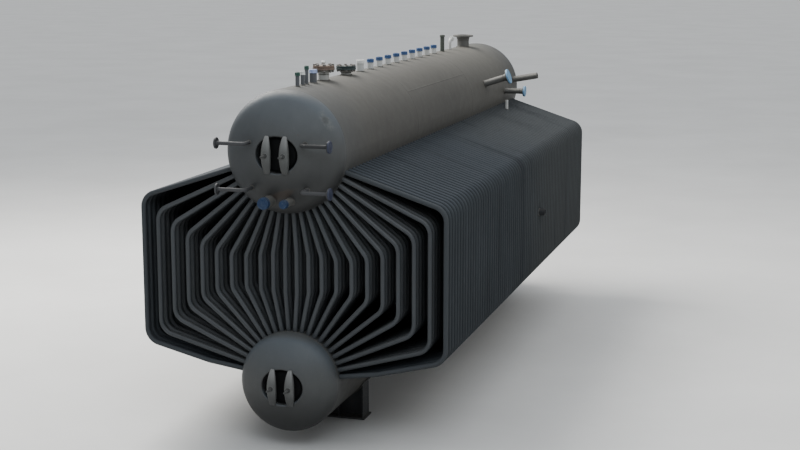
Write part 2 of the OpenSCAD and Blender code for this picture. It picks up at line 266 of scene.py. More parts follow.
def stud(d, z0, z1, thread=True):
    """A threaded end, drawn as fine rings."""
    r = d / 2
    prof = [(0, z0), (r * 0.86, z0), (r, z0 + r * 0.14)]
    if thread:
        p = d * 0.125
        z = z0 + r * 0.14 + p * 0.5
        while z < z1 - r * 0.2 - p:
            prof += [(r * 0.9, z), (r, z + p * 0.5)]
            z += p
    prof += [(r, z1 - r * 0.18), (r * 0.82, z1), (0, z1)]
    return lathe(prof, 14)


def washer(r, h, hole=0.0):
    return lathe([(0, 0), (r - 0.0006, 0), (r, 0.0006), (r, h - 0.0008), (r - 0.0008, h), (0, h)], 28)


def on_drum(y, a):
    """Frame at station y from the first row: +Z leaves the steam drum's axis at angle a above +X."""
    t = math.radians(90 - a)
    return Matrix.Translation((0, Y0 + y, Z1)) @ Matrix.Rotation(t, 4, "Y")


def front_end(z):
    return Matrix.Translation((0, FRONT, z)) @ Matrix.Rotation(math.radians(90), 4, "X")


def rear_end(z):
    return Matrix.Translation((0, REAR, z)) @ Matrix.Rotation(math.radians(-90), 4, "X")


def ripple(P, base, amp=0.16, step=0.0085, seed=1):
    """Weld bead along closed points, its width rippled and a little uneven."""
    rnd = random.Random(seed)
    m = len(P)
    ph = [rnd.uniform(0, 6.28) for _ in range(3)]
    r = []
    for i in range(m):
        t = 2 * math.pi * i / m
        r.append(base * (1 + (amp if i % 2 else -amp) + 0.08 * math.sin(3 * t + ph[0]) + 0.06 * math.sin(7 * t + ph[1])))
    return r


def drum_weld(y, a, r, bead=0.0065, seed=1):
    """Bead where a pipe of radius r meets the steam drum."""
    n = max(36, int(2 * math.pi * r / 0.0048) // 2 * 2)
    P = []
    for j in range(n):
        t = 2 * math.pi * j / n
        x, yy = (r + bead * 0.25) * math.cos(t), (r + bead * 0.25) * math.sin(t)
        P.append((x, yy, math.sqrt(R1 * R1 - x * x) + bead * 0.15))
    M = on_drum(y, a)
    P = [tuple(M @ Vector(p)) for p in P]
    return sweep(P, ripple(P, bead, seed=seed), 7, closed=True)


# ------------------------------------------------------------------ tube paths
def way(k, grow=0.008):
    x = COLS[k - 1]
    a, b = math.radians(6.845 * (k - 0.5)), math.radians(7.8 * (k - 0.5))
    p = [((R1 - grow) * math.sin(a), Z1 - (R1 - grow) * math.cos(a)), (x, Z1 - x / math.tan(a))]
    if k < 11:
        p.append((x, Z2 + x / math.tan(b)))
    else:
        p += [(x, Z2 + 0.915 / math.tan(b) + (x - 0.915) / 4), (0.915, Z2 + 0.915 / math.tan(b))]
    p.append(((R2 - grow) * math.sin(b), Z2 + (R2 - grow) * math.cos(b)))
    return np.array(p)


def rounded(p, step):
    """Points and headings along the path, its corners turned to the bend radius."""
    n = len(p)
    out = [(p[0], math.atan2(*(p[1] - p[0])[::-1]))]
    for i in range(1, n - 1):
        u = (p[i] - p[i - 1]) / np.linalg.norm(p[i] - p[i - 1])
        w = (p[i + 1] - p[i]) / np.linalg.norm(p[i + 1] - p[i])
        h0 = math.atan2(u[1], u[0])
        t = math.atan2(u[0] * w[1] - u[1] * w[0], np.dot(u, w))
        s = 1 if t > 0 else -1
        q = p[i] - u * BEND * math.tan(abs(t) / 2)
        c = q + s * BEND * np.array([-u[1], u[0]])
        m = max(2, math.ceil(abs(math.degrees(t)) / step))
        for j in range(m + 1):
            h = h0 + t * j / m
            out.append((c + s * BEND * np.array([math.sin(h), -math.cos(h)]), h))
    out.append((p[-1], math.atan2(*(p[-1] - p[-2])[::-1])))
    return out


def along(L, section):
    """Sweeps a (normal, y) section along the path, closed at both ends."""
    v, m, s = [], len(L), len(section)
    for c, h in L:
        nx, nz = -math.sin(h), math.cos(h)
        for a, b in section:
            v.append((c[0] + a * nx, b, c[1] + a * nz))
    f = []
    for i in range(m - 1):
        for j in range(s):
            k = (j + 1) % s
            f.append((i * s + j, (i + 1) * s + j, (i + 1) * s + k, i * s + k))
    f.append(tuple(range(s)))
    f.append(tuple(reversed(range((m - 1) * s, m * s))))
    return np.array(v), f


def circle(r, n, turn=0.0):
    return [(r * math.cos(2 * math.pi * j / n + turn), r * math.sin(2 * math.pi * j / n + turn)) for j in range(n)]


def bank(geo, ks, side, seed):
    rnd = random.Random(seed)
    for k in ks:
        p = way(k)
        fine = along(rounded(p, 6.5), circle(TR, 20))
        coarse = along(rounded(p, 11), circle(TR, 12))
        for i in range(ROWS):
            end = min(i, ROWS - 1 - i)
            v, f = fine if end < 3 else coarse
            w = v.copy()
            w[:, 1] += Y0 + i * PITCH + (rnd.uniform(-0.0012, 0.0012))
            w[:, 0] += rnd.uniform(-0.0012, 0.0012) * np.clip((w[:, 2] - Z2) * (Z1 - w[:, 2]), 0, 1)
            if side < 0:
                w[:, 0] *= -1
                f = [tuple(reversed(q)) for q in f]
            geo.add((w, f), tone=rnd.random())
    return geo


def wall(geo, side, seed):
    rnd = random.Random(seed)
    p = way(11)
    L = rounded(p, 6.5)
    fine = along(L, circle(TR, 18))
    q = way(11, grow=0.0200)
    Lf = rounded(q, 9)
    for i in range(ROWS):
        v, f = fine
        w = v.copy()
        w[:, 1] += Y0 + i * PITCH
        if side < 0:
            w[:, 0] *= -1
            f = [tuple(reversed(t)) for t in f]
        geo.add((w, f), tone=rnd.random())
    f1, f0, at, yb = 0.0042, 0.003, 0.0200, TR + 0.0075
    yo, yi = math.sqrt(TR * TR - (at + f1) ** 2) - 0.001, math.sqrt(TR * TR - (at - f1) ** 2) - 0.001
    sec = [(f1, yo), (f0 + 0.0004, (yo + yb) / 2), (f0, yb), (f0, PITCH - yb), (f0 + 0.0004, PITCH - (yo + yb) / 2), (f1, PITCH - yo),
           (-f1, PITCH - yi), (-f0 - 0.0012, PITCH - yb + 0.002), (-f0, PITCH - yb), (-f0, yb), (-f0 - 0.0012, yb - 0.002), (-f1, yi)]
    v, f = along(Lf, sec)
    if side < 0:
        f = [tuple(reversed(t)) for t in f]
    for i in range(ROWS - 1):
        w = v.copy()
        w[:, 1] += Y0 + i * PITCH
        if side < 0:
            w[:, 0] *= -1
        geo.add((w, f), tone=0.35 + 0.3 * rnd.random())
    return geo


# ------------------------------------------------------------------ materials
def tree(name):
    m = bpy.data.materials.new(name)
    m.use_nodes = True
    nt = m.node_tree
    nt.nodes.clear()
    out = nt.nodes.new("ShaderNodeOutputMaterial")
    bs = nt.nodes.new("ShaderNodeBsdfPrincipled")
    nt.links.new(bs.outputs["BSDF"], out.inputs["Surface"])
    return m, nt, bs


class Nt:
    """Short names for the nodes that the finishes share."""

    def __init__(self, nt):
        self.nt = nt
        self.co = nt.nodes.new("ShaderNodeTexCoord").outputs["Object"]
        self.geo = nt.nodes.new("ShaderNodeNewGeometry")

    def link(self, a, b):
        self.nt.links.new(a, b)

    def put(self, socket, value):
        if hasattr(value, "is_linked") or isinstance(value, bpy.types.NodeSocket):
            self.link(value, socket)
        else:
            socket.default_value = value

    def scaled(self, sx, sy, sz):
        n = self.nt.nodes.new("ShaderNodeVectorMath")
        n.operation = "MULTIPLY"
        self.link(self.co, n.inputs[0])
        n.inputs[1].default_value = (sx, sy, sz)
        return n.outputs[0]

    def noise(self, scale, detail=4.0, rough=0.55, vec=None, distort=0.0):
        n = self.nt.nodes.new("ShaderNodeTexNoise")
        self.link(vec or self.co, n.inputs["Vector"])
        n.inputs["Scale"].default_value = scale
        n.inputs["Detail"].default_value = detail
        n.inputs["Roughness"].default_value = rough
        n.inputs["Distortion"].default_value = distort
        return n.outputs["Fac"]

    def voronoi(self, scale, vec=None, feature="F1"):
        n = self.nt.nodes.new("ShaderNodeTexVoronoi")
        n.feature = feature
        self.link(vec or self.co, n.inputs["Vector"])
        n.inputs["Scale"].default_value = scale
        return n.outputs["Distance"]

    def map(self, x, a, b, c=0.0, d=1.0, smooth=False):
        n = self.nt.nodes.new("ShaderNodeMapRange")
        n.clamp = True
        if smooth:
            n.interpolation_type = "SMOOTHSTEP"
        self.put(n.inputs[0], x)
        for i, q in enumerate((a, b, c, d)):
            n.inputs[i + 1].default_value = q
        return n.outputs[0]

    def math(self, op, a, b=0.0, clamp=False):
        n = self.nt.nodes.new("ShaderNodeMath")
        n.operation = op
        n.use_clamp = clamp
        self.put(n.inputs[0], a)
        self.put(n.inputs[1], b)
        return n.outputs[0]

    def mix(self, fac, a, b, mode="MIX"):
        n = self.nt.nodes.new("ShaderNodeMix")
        n.data_type = "RGBA"
        n.blend_type = mode
        n.clamp_factor = True
        self.put(n.inputs[0], fac)
        for s, q in ((n.inputs[6], a), (n.inputs[7], b)):
            if isinstance(q, (tuple, list)):
                s.default_value = (*q, 1.0) if len(q) == 3 else q
            else:
                self.link(q, s)
        return n.outputs[2]

    def up(self):
        n = self.nt.nodes.new("ShaderNodeSeparateXYZ")
        self.link(self.geo.outputs["Normal"], n.inputs[0])
        return n.outputs[2]

    def axis(self, i):
        n = self.nt.nodes.new("ShaderNodeSeparateXYZ")
        self.link(self.co, n.inputs[0])
        return n.outputs[i]

    def attr(self, name):
        n = self.nt.nodes.new("ShaderNodeAttribute")
        n.attribute_name = name
        return n.outputs["Fac"]

    def edge(self, radius):
        b = self.nt.nodes.new("ShaderNodeBevel")
        b.samples = 4
        b.inputs["Radius"].default_value = radius
        d = self.nt.nodes.new("ShaderNodeVectorMath")
        d.operation = "DOT_PRODUCT"
        self.link(b.outputs[0], d.inputs[0])
        self.link(self.geo.outputs["Normal"], d.inputs[1])
        return self.map(d.outputs["Value"], 0.995, 0.90)

    def bump(self, height, distance, strength=1.0, after=None):
        n = self.nt.nodes.new("ShaderNodeBump")
        n.inputs["Strength"].default_value = strength
        n.inputs["Distance"].default_value = distance
        self.link(height, n.inputs["Height"])
        if after is not None:
            self.link(after, n.inputs["Normal"])
        return n.outputs[0]


def shade(c, k):
    return tuple(min(1.0, x * k) for x in c)


def paint(name, base, rough=0.55, mottle=0.10, fine=0.05, streak=0.10, dust=0.5, rust=0.0, wear=0.0,
          tone=0.0, peel=0.35, uneven=0.3, spec=0.4, dust_col=(0.225, 0.212, 0.188), wear_col=(0.30, 0.295, 0.285),
          rust_col=(0.115, 0.048, 0.022), scale=1.0, patches=0.0, patch_col=None, extra=None, scratch=0.0):
    """Sprayed or brushed primer on steel, with clouding, runs, dust on what faces up, rust specks and worn edges."""
    m, nt, bs = tree(name)
    s = Nt(nt)
    big = s.noise(1.3 * scale, 5, 0.6)
    mid = s.noise(9 * scale, 5, 0.6)
    tiny = s.noise(190 * scale, 3, 0.5)
    col = s.mix(s.map(big, 0.3, 0.72), shade(base, 1 - mottle), shade(base, 1 + mottle))
    col = s.mix(s.map(mid, 0.25, 0.8, 0, 0.6), col, shade(base, 1 - 0.55 * mottle))
    if tone:
        col = s.mix(s.map(s.attr("tone"), 0, 1, 0, 1), s.mix(tone, col, shade(base, 0.62)), s.mix(tone, col, shade(base, 1.4)))
    if patches:
        pn = s.noise(2.3 * scale, 4, 0.5, distort=0.6)
        mask = s.math("MULTIPLY", s.map(pn, 0.56, 0.66, smooth=True), patches)
        col = s.mix(mask, col, patch_col or shade(base, 1.25))
    col = s.mix(s.map(tiny, 0.3, 0.75, 0, fine * 2), col, shade(base, 1.45))
    upz = s.up()
    if streak:
        st = s.noise(1.0, 5, 0.65, vec=s.scaled(16, 16, 0.9))
        side = s.map(s.math("ABSOLUTE", upz), 0.75, 0.35)
        mask = s.math("MULTIPLY", s.math("MULTIPLY", s.map(st, 0.52, 0.72), side), streak)
        col = s.mix(mask, col, shade(base, 0.5))
        st2 = s.noise(1.0, 4, 0.6, vec=s.scaled(26, 26, 1.6))
        mask2 = s.math("MULTIPLY", s.math("MULTIPLY", s.map(st2, 0.60, 0.74), side), streak * 0.8)
        col = s.mix(mask2, col, shade(base, 1.55))
    if rust:
        rn = s.noise(34 * scale, 6, 0.7, distort=0.4)
        rz = s.noise(2.1 * scale, 3, 0.5)
        rm = s.math("MULTIPLY", s.map(rn, 0.60, 0.70, smooth=True), s.map(rz, 0.45, 0.62, smooth=True))
        rm = s.math("MULTIPLY", rm, rust)
        col = s.mix(rm, col, rust_col)
    if scratch:
        sc = s.noise(1.0, 3, 0.5, vec=s.scaled(5, 60, 170))
        col = s.mix(s.math("MULTIPLY", s.map(sc, 0.67, 0.73), scratch), col, wear_col)
    rgh = s.map(mid, 0.2, 0.8, rough - 0.07, rough + 0.09)
    if wear:
        e = s.edge(0.0035)
        em = s.math("MULTIPLY", s.math("MULTIPLY", e, s.map(s.noise(48, 5, 0.65), 0.40, 0.62)), wear)
        col = s.mix(em, col, wear_col)
    if dust:
        dn = s.noise(5.5 * scale, 6, 0.7)
        dm = s.math("MULTIPLY", s.map(upz, 0.15, 0.95, smooth=True), s.map(dn, 0.25, 0.75, 0.35, 1.0))
        dm = s.math("MULTIPLY", dm, dust)
        col = s.mix(dm, col, dust_col)
        rgh = s.math("ADD", rgh, s.math("MULTIPLY", dm, 0.2), clamp=True)
    if extra:
        col, rgh = extra(s, col, rgh)
    s.link(col, bs.inputs["Base Color"])
    s.link(rgh, bs.inputs["Roughness"])
    bs.inputs["Specular IOR Level"].default_value = spec
    n1 = s.bump(s.noise(420 * scale, 2, 0.5), 0.0006, peel)
    n2 = s.bump(s.noise(22 * scale, 4, 0.55), 0.004, uneven * 0.5, after=n1)
    s.link(n2, bs.inputs["Normal"])
    return m


def plastic(name, base, rough=0.35, chalk=0.25, dust=0.35, spec=0.45):
    """Moulded plastic, a little chalked and scuffed."""
    m, nt, bs = tree(name)
    s = Nt(nt)
    big = s.noise(14, 4, 0.55)
    col = s.mix(s.map(big, 0.3, 0.7), shade(base, 0.88), shade(base, 1.12))
    pale = tuple(0.5 * c + 0.35 for c in base)
    col = s.mix(s.math("MULTIPLY", s.map(s.noise(55, 6, 0.7), 0.45, 0.75), chalk), col, pale)
    sc = s.noise(1.0, 3, 0.5, vec=s.scaled(240, 60, 30))
    col = s.mix(s.map(sc, 0.66, 0.74, 0, 0.35), col, pale)
    dm = s.math("MULTIPLY", s.map(s.up(), 0.1, 0.95), s.map(s.noise(30, 5, 0.6), 0.3, 0.7, 0.3, dust * 2))
    dm = s.math("MULTIPLY", dm, dust * 1.6)
    col = s.mix(dm, col, (0.46, 0.44, 0.40))
    s.link(col, bs.inputs["Base Color"])
    s.link(s.map(big, 0.2, 0.8, rough - 0.05, rough + 0.2), bs.inputs["Roughness"])
    bs.inputs["Specular IOR Level"].default_value = spec
    s.link(s.bump(s.noise(160, 4, 0.6), 0.0006, 0.25), bs.inputs["Normal"])
    return m


def steel(name, base, rough=0.42, metal=0.85, rust=0.2, rust_col=(0.18, 0.08, 0.035)):
    """Bare or galvanised steel of studs, nuts and washers."""
    m, nt, bs = tree(name)
    s = Nt(nt)
    n1 = s.noise(60, 5, 0.6)
    col = s.mix(s.map(n1, 0.3, 0.7), shade(base, 0.8), shade(base, 1.15))
    rm = s.math("MULTIPLY", s.map(s.noise(85, 6, 0.7, distort=0.5), 0.50, 0.66), rust)
    col = s.mix(rm, col, rust_col)
    s.link(col, bs.inputs["Base Color"])
    s.link(s.map(n1, 0.2, 0.8, rough - 0.08, rough + 0.15), bs.inputs["Roughness"])
    s.link(s.math("SUBTRACT", metal, s.math("MULTIPLY", rm, metal), clamp=True), bs.inputs["Metallic"])
    s.link(s.bump(s.noise(300, 4, 0.6), 0.0005, 0.35), bs.inputs["Normal"])
    return m


def painted_inner_row_shade(s, col, rgh):
    """Painted shade among the tubes: the rows between the two end rows are darkened as shade between them, and all rows
    are darker low down; the middle rows are also a little rougher.
    """
    y = s.axis(1)
    n = s.math("MULTIPLY", s.math("SUBTRACT", s.noise(3.0, 4, 0.6), 0.5), 0.05)
    a = s.map(s.math("ADD", y, n), Y0 + 0.035, Y0 + 0.16, smooth=True)
    b = s.map(s.math("ADD", y, n), Y1 - 0.035, Y1 - 0.16, smooth=True)
    k = s.math("MULTIPLY", a, b)
    # scale: the colour of the painted shade between the end rows
    scale = s.mix(s.map(s.noise(11, 5, 0.65), 0.35, 0.7), (0.042, 0.046, 0.050), (0.058, 0.057, 0.056))
    col = s.mix(s.math("MULTIPLY", k, 0.60), col, scale)
    # painted shade, darker low down
    col = s.mix(s.map(s.axis(2), 1.75, 0.75, 0, 0.45, smooth=True), col, (0.047, 0.052, 0.057))
    return col, s.math("ADD", rgh, s.math("MULTIPLY", k, 0.10), clamp=True)


def wall_tint_and_painted_light(s, col, rgh):
    """Painted light and shade on the wall: a painted sky reflection, bluer where the wall turns in to the drum; painted
    shade low down; a painted pool of light towards the rear; painted light on the faces that look in at the bank. Also
    darker and lighter tubes at random, and the front tube in the tube colour.
    """
    # painted sky reflection on the faces that look up
    col = s.mix(s.map(s.up(), 0.25, 0.8, 0, 0.7, smooth=True), col, (0.064, 0.073, 0.086))
    # painted shade, duller low down
    col = s.mix(s.map(s.axis(2), 1.9, 0.9, 0, 0.35, smooth=True), col, (0.038, 0.042, 0.046))
    # painted light, paler towards the rear
    rear_light_y = s.math("ADD", s.axis(1), s.math("MULTIPLY", s.math("SUBTRACT", s.noise(0.9, 4, 0.6), 0.5), 1.2))
    col = s.mix(s.map(rear_light_y, -1.2, 1.6, 0, 0.50, smooth=True), col, (0.084, 0.087, 0.086))
    old = s.noise(1.0, 3, 0.5, vec=s.scaled(0.35, 9.5, 0.35))
    col = s.mix(s.math("MULTIPLY", s.map(old, 0.60, 0.68), 0.38), col, (0.026, 0.029, 0.034))
    new = s.noise(1.0, 3, 0.5, vec=s.scaled(0.5, 6.0, 0.5))
    col = s.mix(s.math("MULTIPLY", s.map(new, 0.60, 0.70), 0.22), col, (0.080, 0.086, 0.095))
    # painted light on the faces that look in towards the bank
    sep = s.nt.nodes.new("ShaderNodeSeparateXYZ")
    s.link(s.geo.outputs["Normal"], sep.inputs[0])
    inward = s.math("MULTIPLY", sep.outputs[0], s.axis(0))
    col = s.mix(s.map(inward, -0.10, -0.50, 0, 0.75), col, (0.078, 0.084, 0.091))
    col = s.mix(s.map(s.axis(1), Y0 + 0.040, Y0 + 0.022, 0, 0.85), col, TUBE)
    return col, rgh


def above(at, tint, keep=0.06):
    """Paint of another colour above a height, as on a flange that was sprayed apart from its neck."""
    def extra(s, col, rgh):
        n = s.math("MULTIPLY", s.math("SUBTRACT", s.noise(60, 4, 0.6), 0.5), 0.006)
        k = s.map(s.math("ADD", s.axis(2), n), at, at + 0.002)
        v = s.mix(s.map(s.noise(26, 5, 0.65), 0.3, 0.7), shade(tint, 0.8), shade(tint, 1.25))
        return s.mix(s.math("MULTIPLY", k, 1 - keep), col, v), rgh
    return extra


def bow_painted_light_and_shade(s, col, rgh):
    """Painted light and shade: paler where a bow looks up, darker where it looks down."""
    up = s.up()
    col = s.mix(s.map(up, 0.05, 0.55, 0, 0.75, smooth=True), col, (0.205, 0.208, 0.205))
    col = s.mix(s.map(up, 0.0, -0.32, 0, 0.75, smooth=True), col, (0.070, 0.072, 0.071))
    return col, rgh


def head_painted_sky_and_shade(s, col, rgh):
    """Painted sky reflection and painted shade: cooler where the head looks up, a little darker where it looks down."""
    up = s.up()
    cool = s.math("MULTIPLY", s.map(up, 0.02, 0.70, 0, 0.62, smooth=True), s.map(up, 0.72, 0.97, 1.0, 0.25, smooth=True))
    col = s.mix(cool, col, (0.091, 0.111, 0.132))
    col = s.mix(s.map(up, 0.12, -0.50, 0, 0.82, smooth=True), col, (0.037, 0.0375, 0.037))
    return col, rgh


def spot(s, x0, z0, rx, rz, turn=0.0):
    """1 in the middle of an oval on the X Z plane, 0 outside it, with a ragged edge."""
    x, z = s.math("SUBTRACT", s.axis(0), x0), s.math("SUBTRACT", s.axis(2), z0)
    c, q = math.cos(turn), math.sin(turn)
    u = s.math("ADD", s.math("MULTIPLY", x, c / rx), s.math("MULTIPLY", z, q / rx))
    v = s.math("ADD", s.math("MULTIPLY", x, -q / rz), s.math("MULTIPLY", z, c / rz))
    d = s.math("SQRT", s.math("ADD", s.math("MULTIPLY", u, u), s.math("MULTIPLY", v, v)))
    n = s.math("MULTIPLY", s.math("SUBTRACT", s.noise(17, 5, 0.65), 0.5), 1.3)
    return s.map(s.math("ADD", d, n), 1.15, 0.45, smooth=True)


def front_head_marks_and_painted_shade(s, col, rgh):
    """Handling marks on the front head: a pale scuff high on the right, a brown stain above the feed stubs. Also
    painted light and shade: the head's painted sky reflection and shade, and painted shade over its left side.
    """
    col, rgh = head_painted_sky_and_shade(s, col, rgh)
    side = s.math("ADD", s.axis(0), s.math("MULTIPLY", s.math("SUBTRACT", s.noise(3.2, 4, 0.6), 0.5), 0.35))
    # painted shade, darker over the left side of the head
    col = s.mix(s.map(side, -0.05, -0.50, 0, 0.42, smooth=True), col, (0.058, 0.067, 0.077))
    a = spot(s, 0.455, 3.395, 0.125, 0.036, -0.95)
    hole = spot(s, 0.450, 3.400, 0.050, 0.026, -0.95)
    a = s.math("MULTIPLY", a, s.map(s.noise(38, 5, 0.7), 0.35, 0.60))
    col = s.mix(s.math("MULTIPLY", a, 0.40), col, (0.180, 0.182, 0.172))
    col = s.mix(s.math("MULTIPLY", hole, 0.55), col, (0.060, 0.062, 0.062))
    c = spot(s, 0.02, 2.655, 0.17, 0.050, 0.35)
    col = s.mix(s.math("MULTIPLY", c, 0.34), col, (0.112, 0.080, 0.060))
    return col, rgh


def seam_bands_and_painted_light(s, col, rgh):
    """Slightly paler, brushed-over bands beside the drum's welds. Also painted light: a paler, warmer pool of light
    towards the rear, and a cooler tone near both ends.
    """
    y = s.axis(1)
    n = s.noise(7, 5, 0.65)
    for at, k in ((FRONT + SKIRT, 0.05), (REAR - SKIRT, 0.06), (-1.36, 0.05), (1.24, 0.05)):
        d = s.math("ABSOLUTE", s.math("SUBTRACT", y, at))
        d = s.math("ADD", d, s.math("MULTIPLY", s.math("SUBTRACT", n, 0.5), 0.10))
        m = s.map(d, 0.085, 0.045, 0, k, smooth=True)
        col = s.mix(m, col, (0.165, 0.162, 0.150))
    wide = s.math("MULTIPLY", s.math("SUBTRACT", s.noise(1.1, 4, 0.6), 0.5), 0.7)
    # painted light, paler and warmer towards the rear
    col = s.mix(s.map(s.math("ADD", y, wide), 0.3, 2.4, 0, 0.40, smooth=True), col, (0.142, 0.138, 0.124))
    # painted light, cooler near both ends
    away = s.math("ABSOLUTE", s.math("ADD", y, wide))
    col = s.mix(s.map(away, 2.9, 3.95, 0, 0.60, smooth=True), col, (0.084, 0.087, 0.087))
    return col, rgh


DRUM = (0.094, 0.0915, 0.0840)
HEAD = (0.084, 0.087, 0.087)
TUBE = (0.067, 0.0728, 0.0785)
WALL = (0.053, 0.060, 0.066)
PIPE = (0.130, 0.130, 0.124)

mat_drum = paint("steam_drum_primer", shade(DRUM, 0.93), rough=0.60, mottle=0.09, streak=0.05, dust=0.18, rust=0.30, scratch=0.05, extra=seam_bands_and_painted_light, patches=0.12)
mat_mud = paint("mud_drum_primer", shade(DRUM, 0.82), rough=0.58, mottle=0.10, streak=0.12, dust=0.5, rust=0.5, scratch=0.2, extra=seam_bands_and_painted_light)
mat_head = paint("head_primer", HEAD, rough=0.52, mottle=0.08, streak=0.12, dust=0.22, rust=0.25, scratch=0.12, wear=0.0, patches=0.15, extra=head_painted_sky_and_shade)
mat_front_head = paint("front_head_primer", HEAD, rough=0.55, mottle=0.13, streak=0.15, dust=0.22, rust=0.25, scratch=0.08, wear=0.0, patches=0.35, extra=front_head_marks_and_painted_shade)
mat_tube = paint("tube_primer", TUBE, rough=0.42, mottle=0.12, streak=0.14, dust=0.22, rust=0.45, tone=0.12, fine=0.05, extra=painted_inner_row_shade)
# its dust is blue grey: on faces that look up it is partly dust, partly a painted sky reflection
mat_wall = paint("wall_primer", WALL, rough=0.72, mottle=0.12, streak=0.12, dust=0.14, rust=0.35, tone=0.05, scratch=0.06, spec=0.2, dust_col=(0.118, 0.124, 0.132), extra=wall_tint_and_painted_light)
# near black: painted shade of the recess behind the manhole
mat_cover_painted_shade = paint("cover_primer_painted_shade", (0.010, 0.0105, 0.011), rough=0.70, mottle=0.15, streak=0.1, dust=0.05, rust=0.15, spec=0.18)
mat_yoke = paint("yoke_forging", (0.125, 0.128, 0.125), rough=0.45, mottle=0.14, streak=0.15, dust=0.35, rust=0.55, wear=0.45, peel=0.6, uneven=0.7, scale=2.2, wear_col=(0.26, 0.26, 0.25), extra=bow_painted_light_and_shade)
mat_gauge = paint("gauge_pipe_primer", (0.058, 0.059, 0.062), rough=0.52, mottle=0.12, streak=0.14, dust=0.12, rust=0.55, wear=0.18, tone=0.90, spec=0.3, scale=2.0)
mat_valve_neck = paint("valve_neck_primer", (0.36, 0.36, 0.342), rough=0.48, mottle=0.10, streak=0.16, dust=0.2, rust=0.5, wear=0.35, scale=2.0, extra=above(3.782, (0.150, 0.112, 0.090)))
mat_low_neck = paint("low_neck_primer", (0.30, 0.30, 0.285), rough=0.48, mottle=0.10, streak=0.16, dust=0.2, rust=0.5, wear=0.35, scale=2.0, extra=above(3.728, (0.034, 0.052, 0.053)))
mat_stud = paint("stud_primer", (0.078, 0.080, 0.079), rough=0.60, spec=0.25, mottle=0.16, streak=0.0, dust=0.2, rust=0.8, wear=0.25, peel=0.6, scale=2.4, wear_col=(0.17, 0.165, 0.155))
mat_vent = paint("vent_stub_primer", (0.120, 0.125, 0.135), rough=0.48, mottle=0.10, streak=0.16, dust=0.2, rust=0.5, wear=0.30, scale=2.0)
mat_wall_stub = paint("wall_stub_primer", (0.044, 0.046, 0.050), rough=0.55, mottle=0.12, streak=0.14, dust=0.15, rust=0.5, wear=0.2, scale=2.0)
mat_pipe = paint("nozzle_primer", PIPE, rough=0.50, mottle=0.12, streak=0.14, dust=0.4, rust=0.45, wear=0.45, scale=2.0)
mat_pale = paint("pale_nozzle_primer", (0.47, 0.475, 0.465), rough=0.48, mottle=0.10, streak=0.16, dust=0.25, rust=0.5, wear=0.35, scale=2.0)
mat_green = paint("post_primer", (0.082, 0.092, 0.080), rough=0.5, mottle=0.12, streak=0.14, dust=0.35, rust=0.5, wear=0.45, scale=2.0)
mat_saddle = paint("saddle_primer", (0.058, 0.060, 0.063), rough=0.55, mottle=0.14, streak=0.2, dust=0.6, rust=0.7, wear=0.8, scratch=0.5, scale=1.6)
mat_weld = paint("weld_bead", (0.105, 0.102, 0.094), rough=0.50, mottle=0.25, streak=0.0, dust=0.3, rust=0.9, peel=0.8, uneven=0.6, scale=2.5)
mat_plate = paint("blank_primer", (0.165, 0.122, 0.096), rough=0.55, mottle=0.14, streak=0.1, dust=0.5, rust=0.8, wear=0.6, scale=2.2)
mat_darkplate = paint("low_blank_primer", (0.026, 0.044, 0.046), rough=0.45, mottle=0.15, streak=0.1, dust=0.4, rust=0.4, wear=0.5, scale=2.2)
mat_blue = plastic("blue_cap_plastic", (0.015, 0.038, 0.088), chalk=0.12, dust=0.12)
mat_riser_blue = plastic("riser_cap_plastic", (0.036, 0.082, 0.190), rough=0.42, chalk=0.12, dust=0.2)
mat_white = plastic("white_cap_plastic", (0.56, 0.57, 0.56), rough=0.4, chalk=0.2)
mat_pale_blue = plastic("pale_blue_cap_plastic", (0.17, 0.30, 0.44), rough=0.45, chalk=0.22, dust=0.2)
mat_slate_cap = plastic("slate_cap_plastic", (0.038, 0.044, 0.072), rough=0.5, chalk=0.03, dust=0.06)
mat_lavender_cap = plastic("lavender_cap_plastic", (0.30, 0.36, 0.54), rough=0.45, chalk=0.2)
mat_green_cap = plastic("green_cap_plastic", (0.022, 0.075, 0.058), rough=0.4, chalk=0.15)
mat_bolt = steel("bolt_steel", (0.24, 0.235, 0.225), metal=0.6, rust=0.5)
mat_gasket = plastic("gasket_rubber", (0.02, 0.02, 0.021), rough=0.7, chalk=0.1, dust=0.15, spec=0.25)


def dress(node, mat):
    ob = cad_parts[node]
    ob.data.materials.clear()
    ob.data.materials.append(mat)


# ------------------------------------------------------------------ drums: shells stay as the CAD has them
dress("steam_drum_shell", mat_drum)
dress("mud_drum_shell", mat_mud)


def bead_ring(R, w, h, seed, n=320):
    rnd = random.Random(seed)
    m = 7
    prof = [(-w / 2 + w * i / (m - 1)) for i in range(m)]
    v, f = [], []
    jit = [rnd.uniform(-1, 1) for _ in range(n)]
    for i, z in enumerate(prof):
        up = h * math.cos(math.pi * z / w) if 0 < i < m - 1 else -0.0012
        for j in range(n):
            a = 2 * math.pi * j / n
            dz = 0.0012 * math.sin(9 * a + seed) + 0.0008 * jit[j]
            q = R + up * (1 + (0.22 if j % 2 else -0.22)) if 0 < i < m - 1 else R + up
            v.append((q * math.cos(a), q * math.sin(a), z + dz))
    base = len(v)
    for z in (w / 2, -w / 2):
        for j in range(n):
            a = 2 * math.pi * j / n
            v.append(((R - 0.006) * math.cos(a), (R - 0.006) * math.sin(a), z))
    rows = m + 2
    for i in range(rows):
        a, b = i * n, (i + 1) % rows * n
        for j in range(n):
            k = (j + 1) % n
            f.append((a + j, a + k, b + k, b + j))
    return v, f


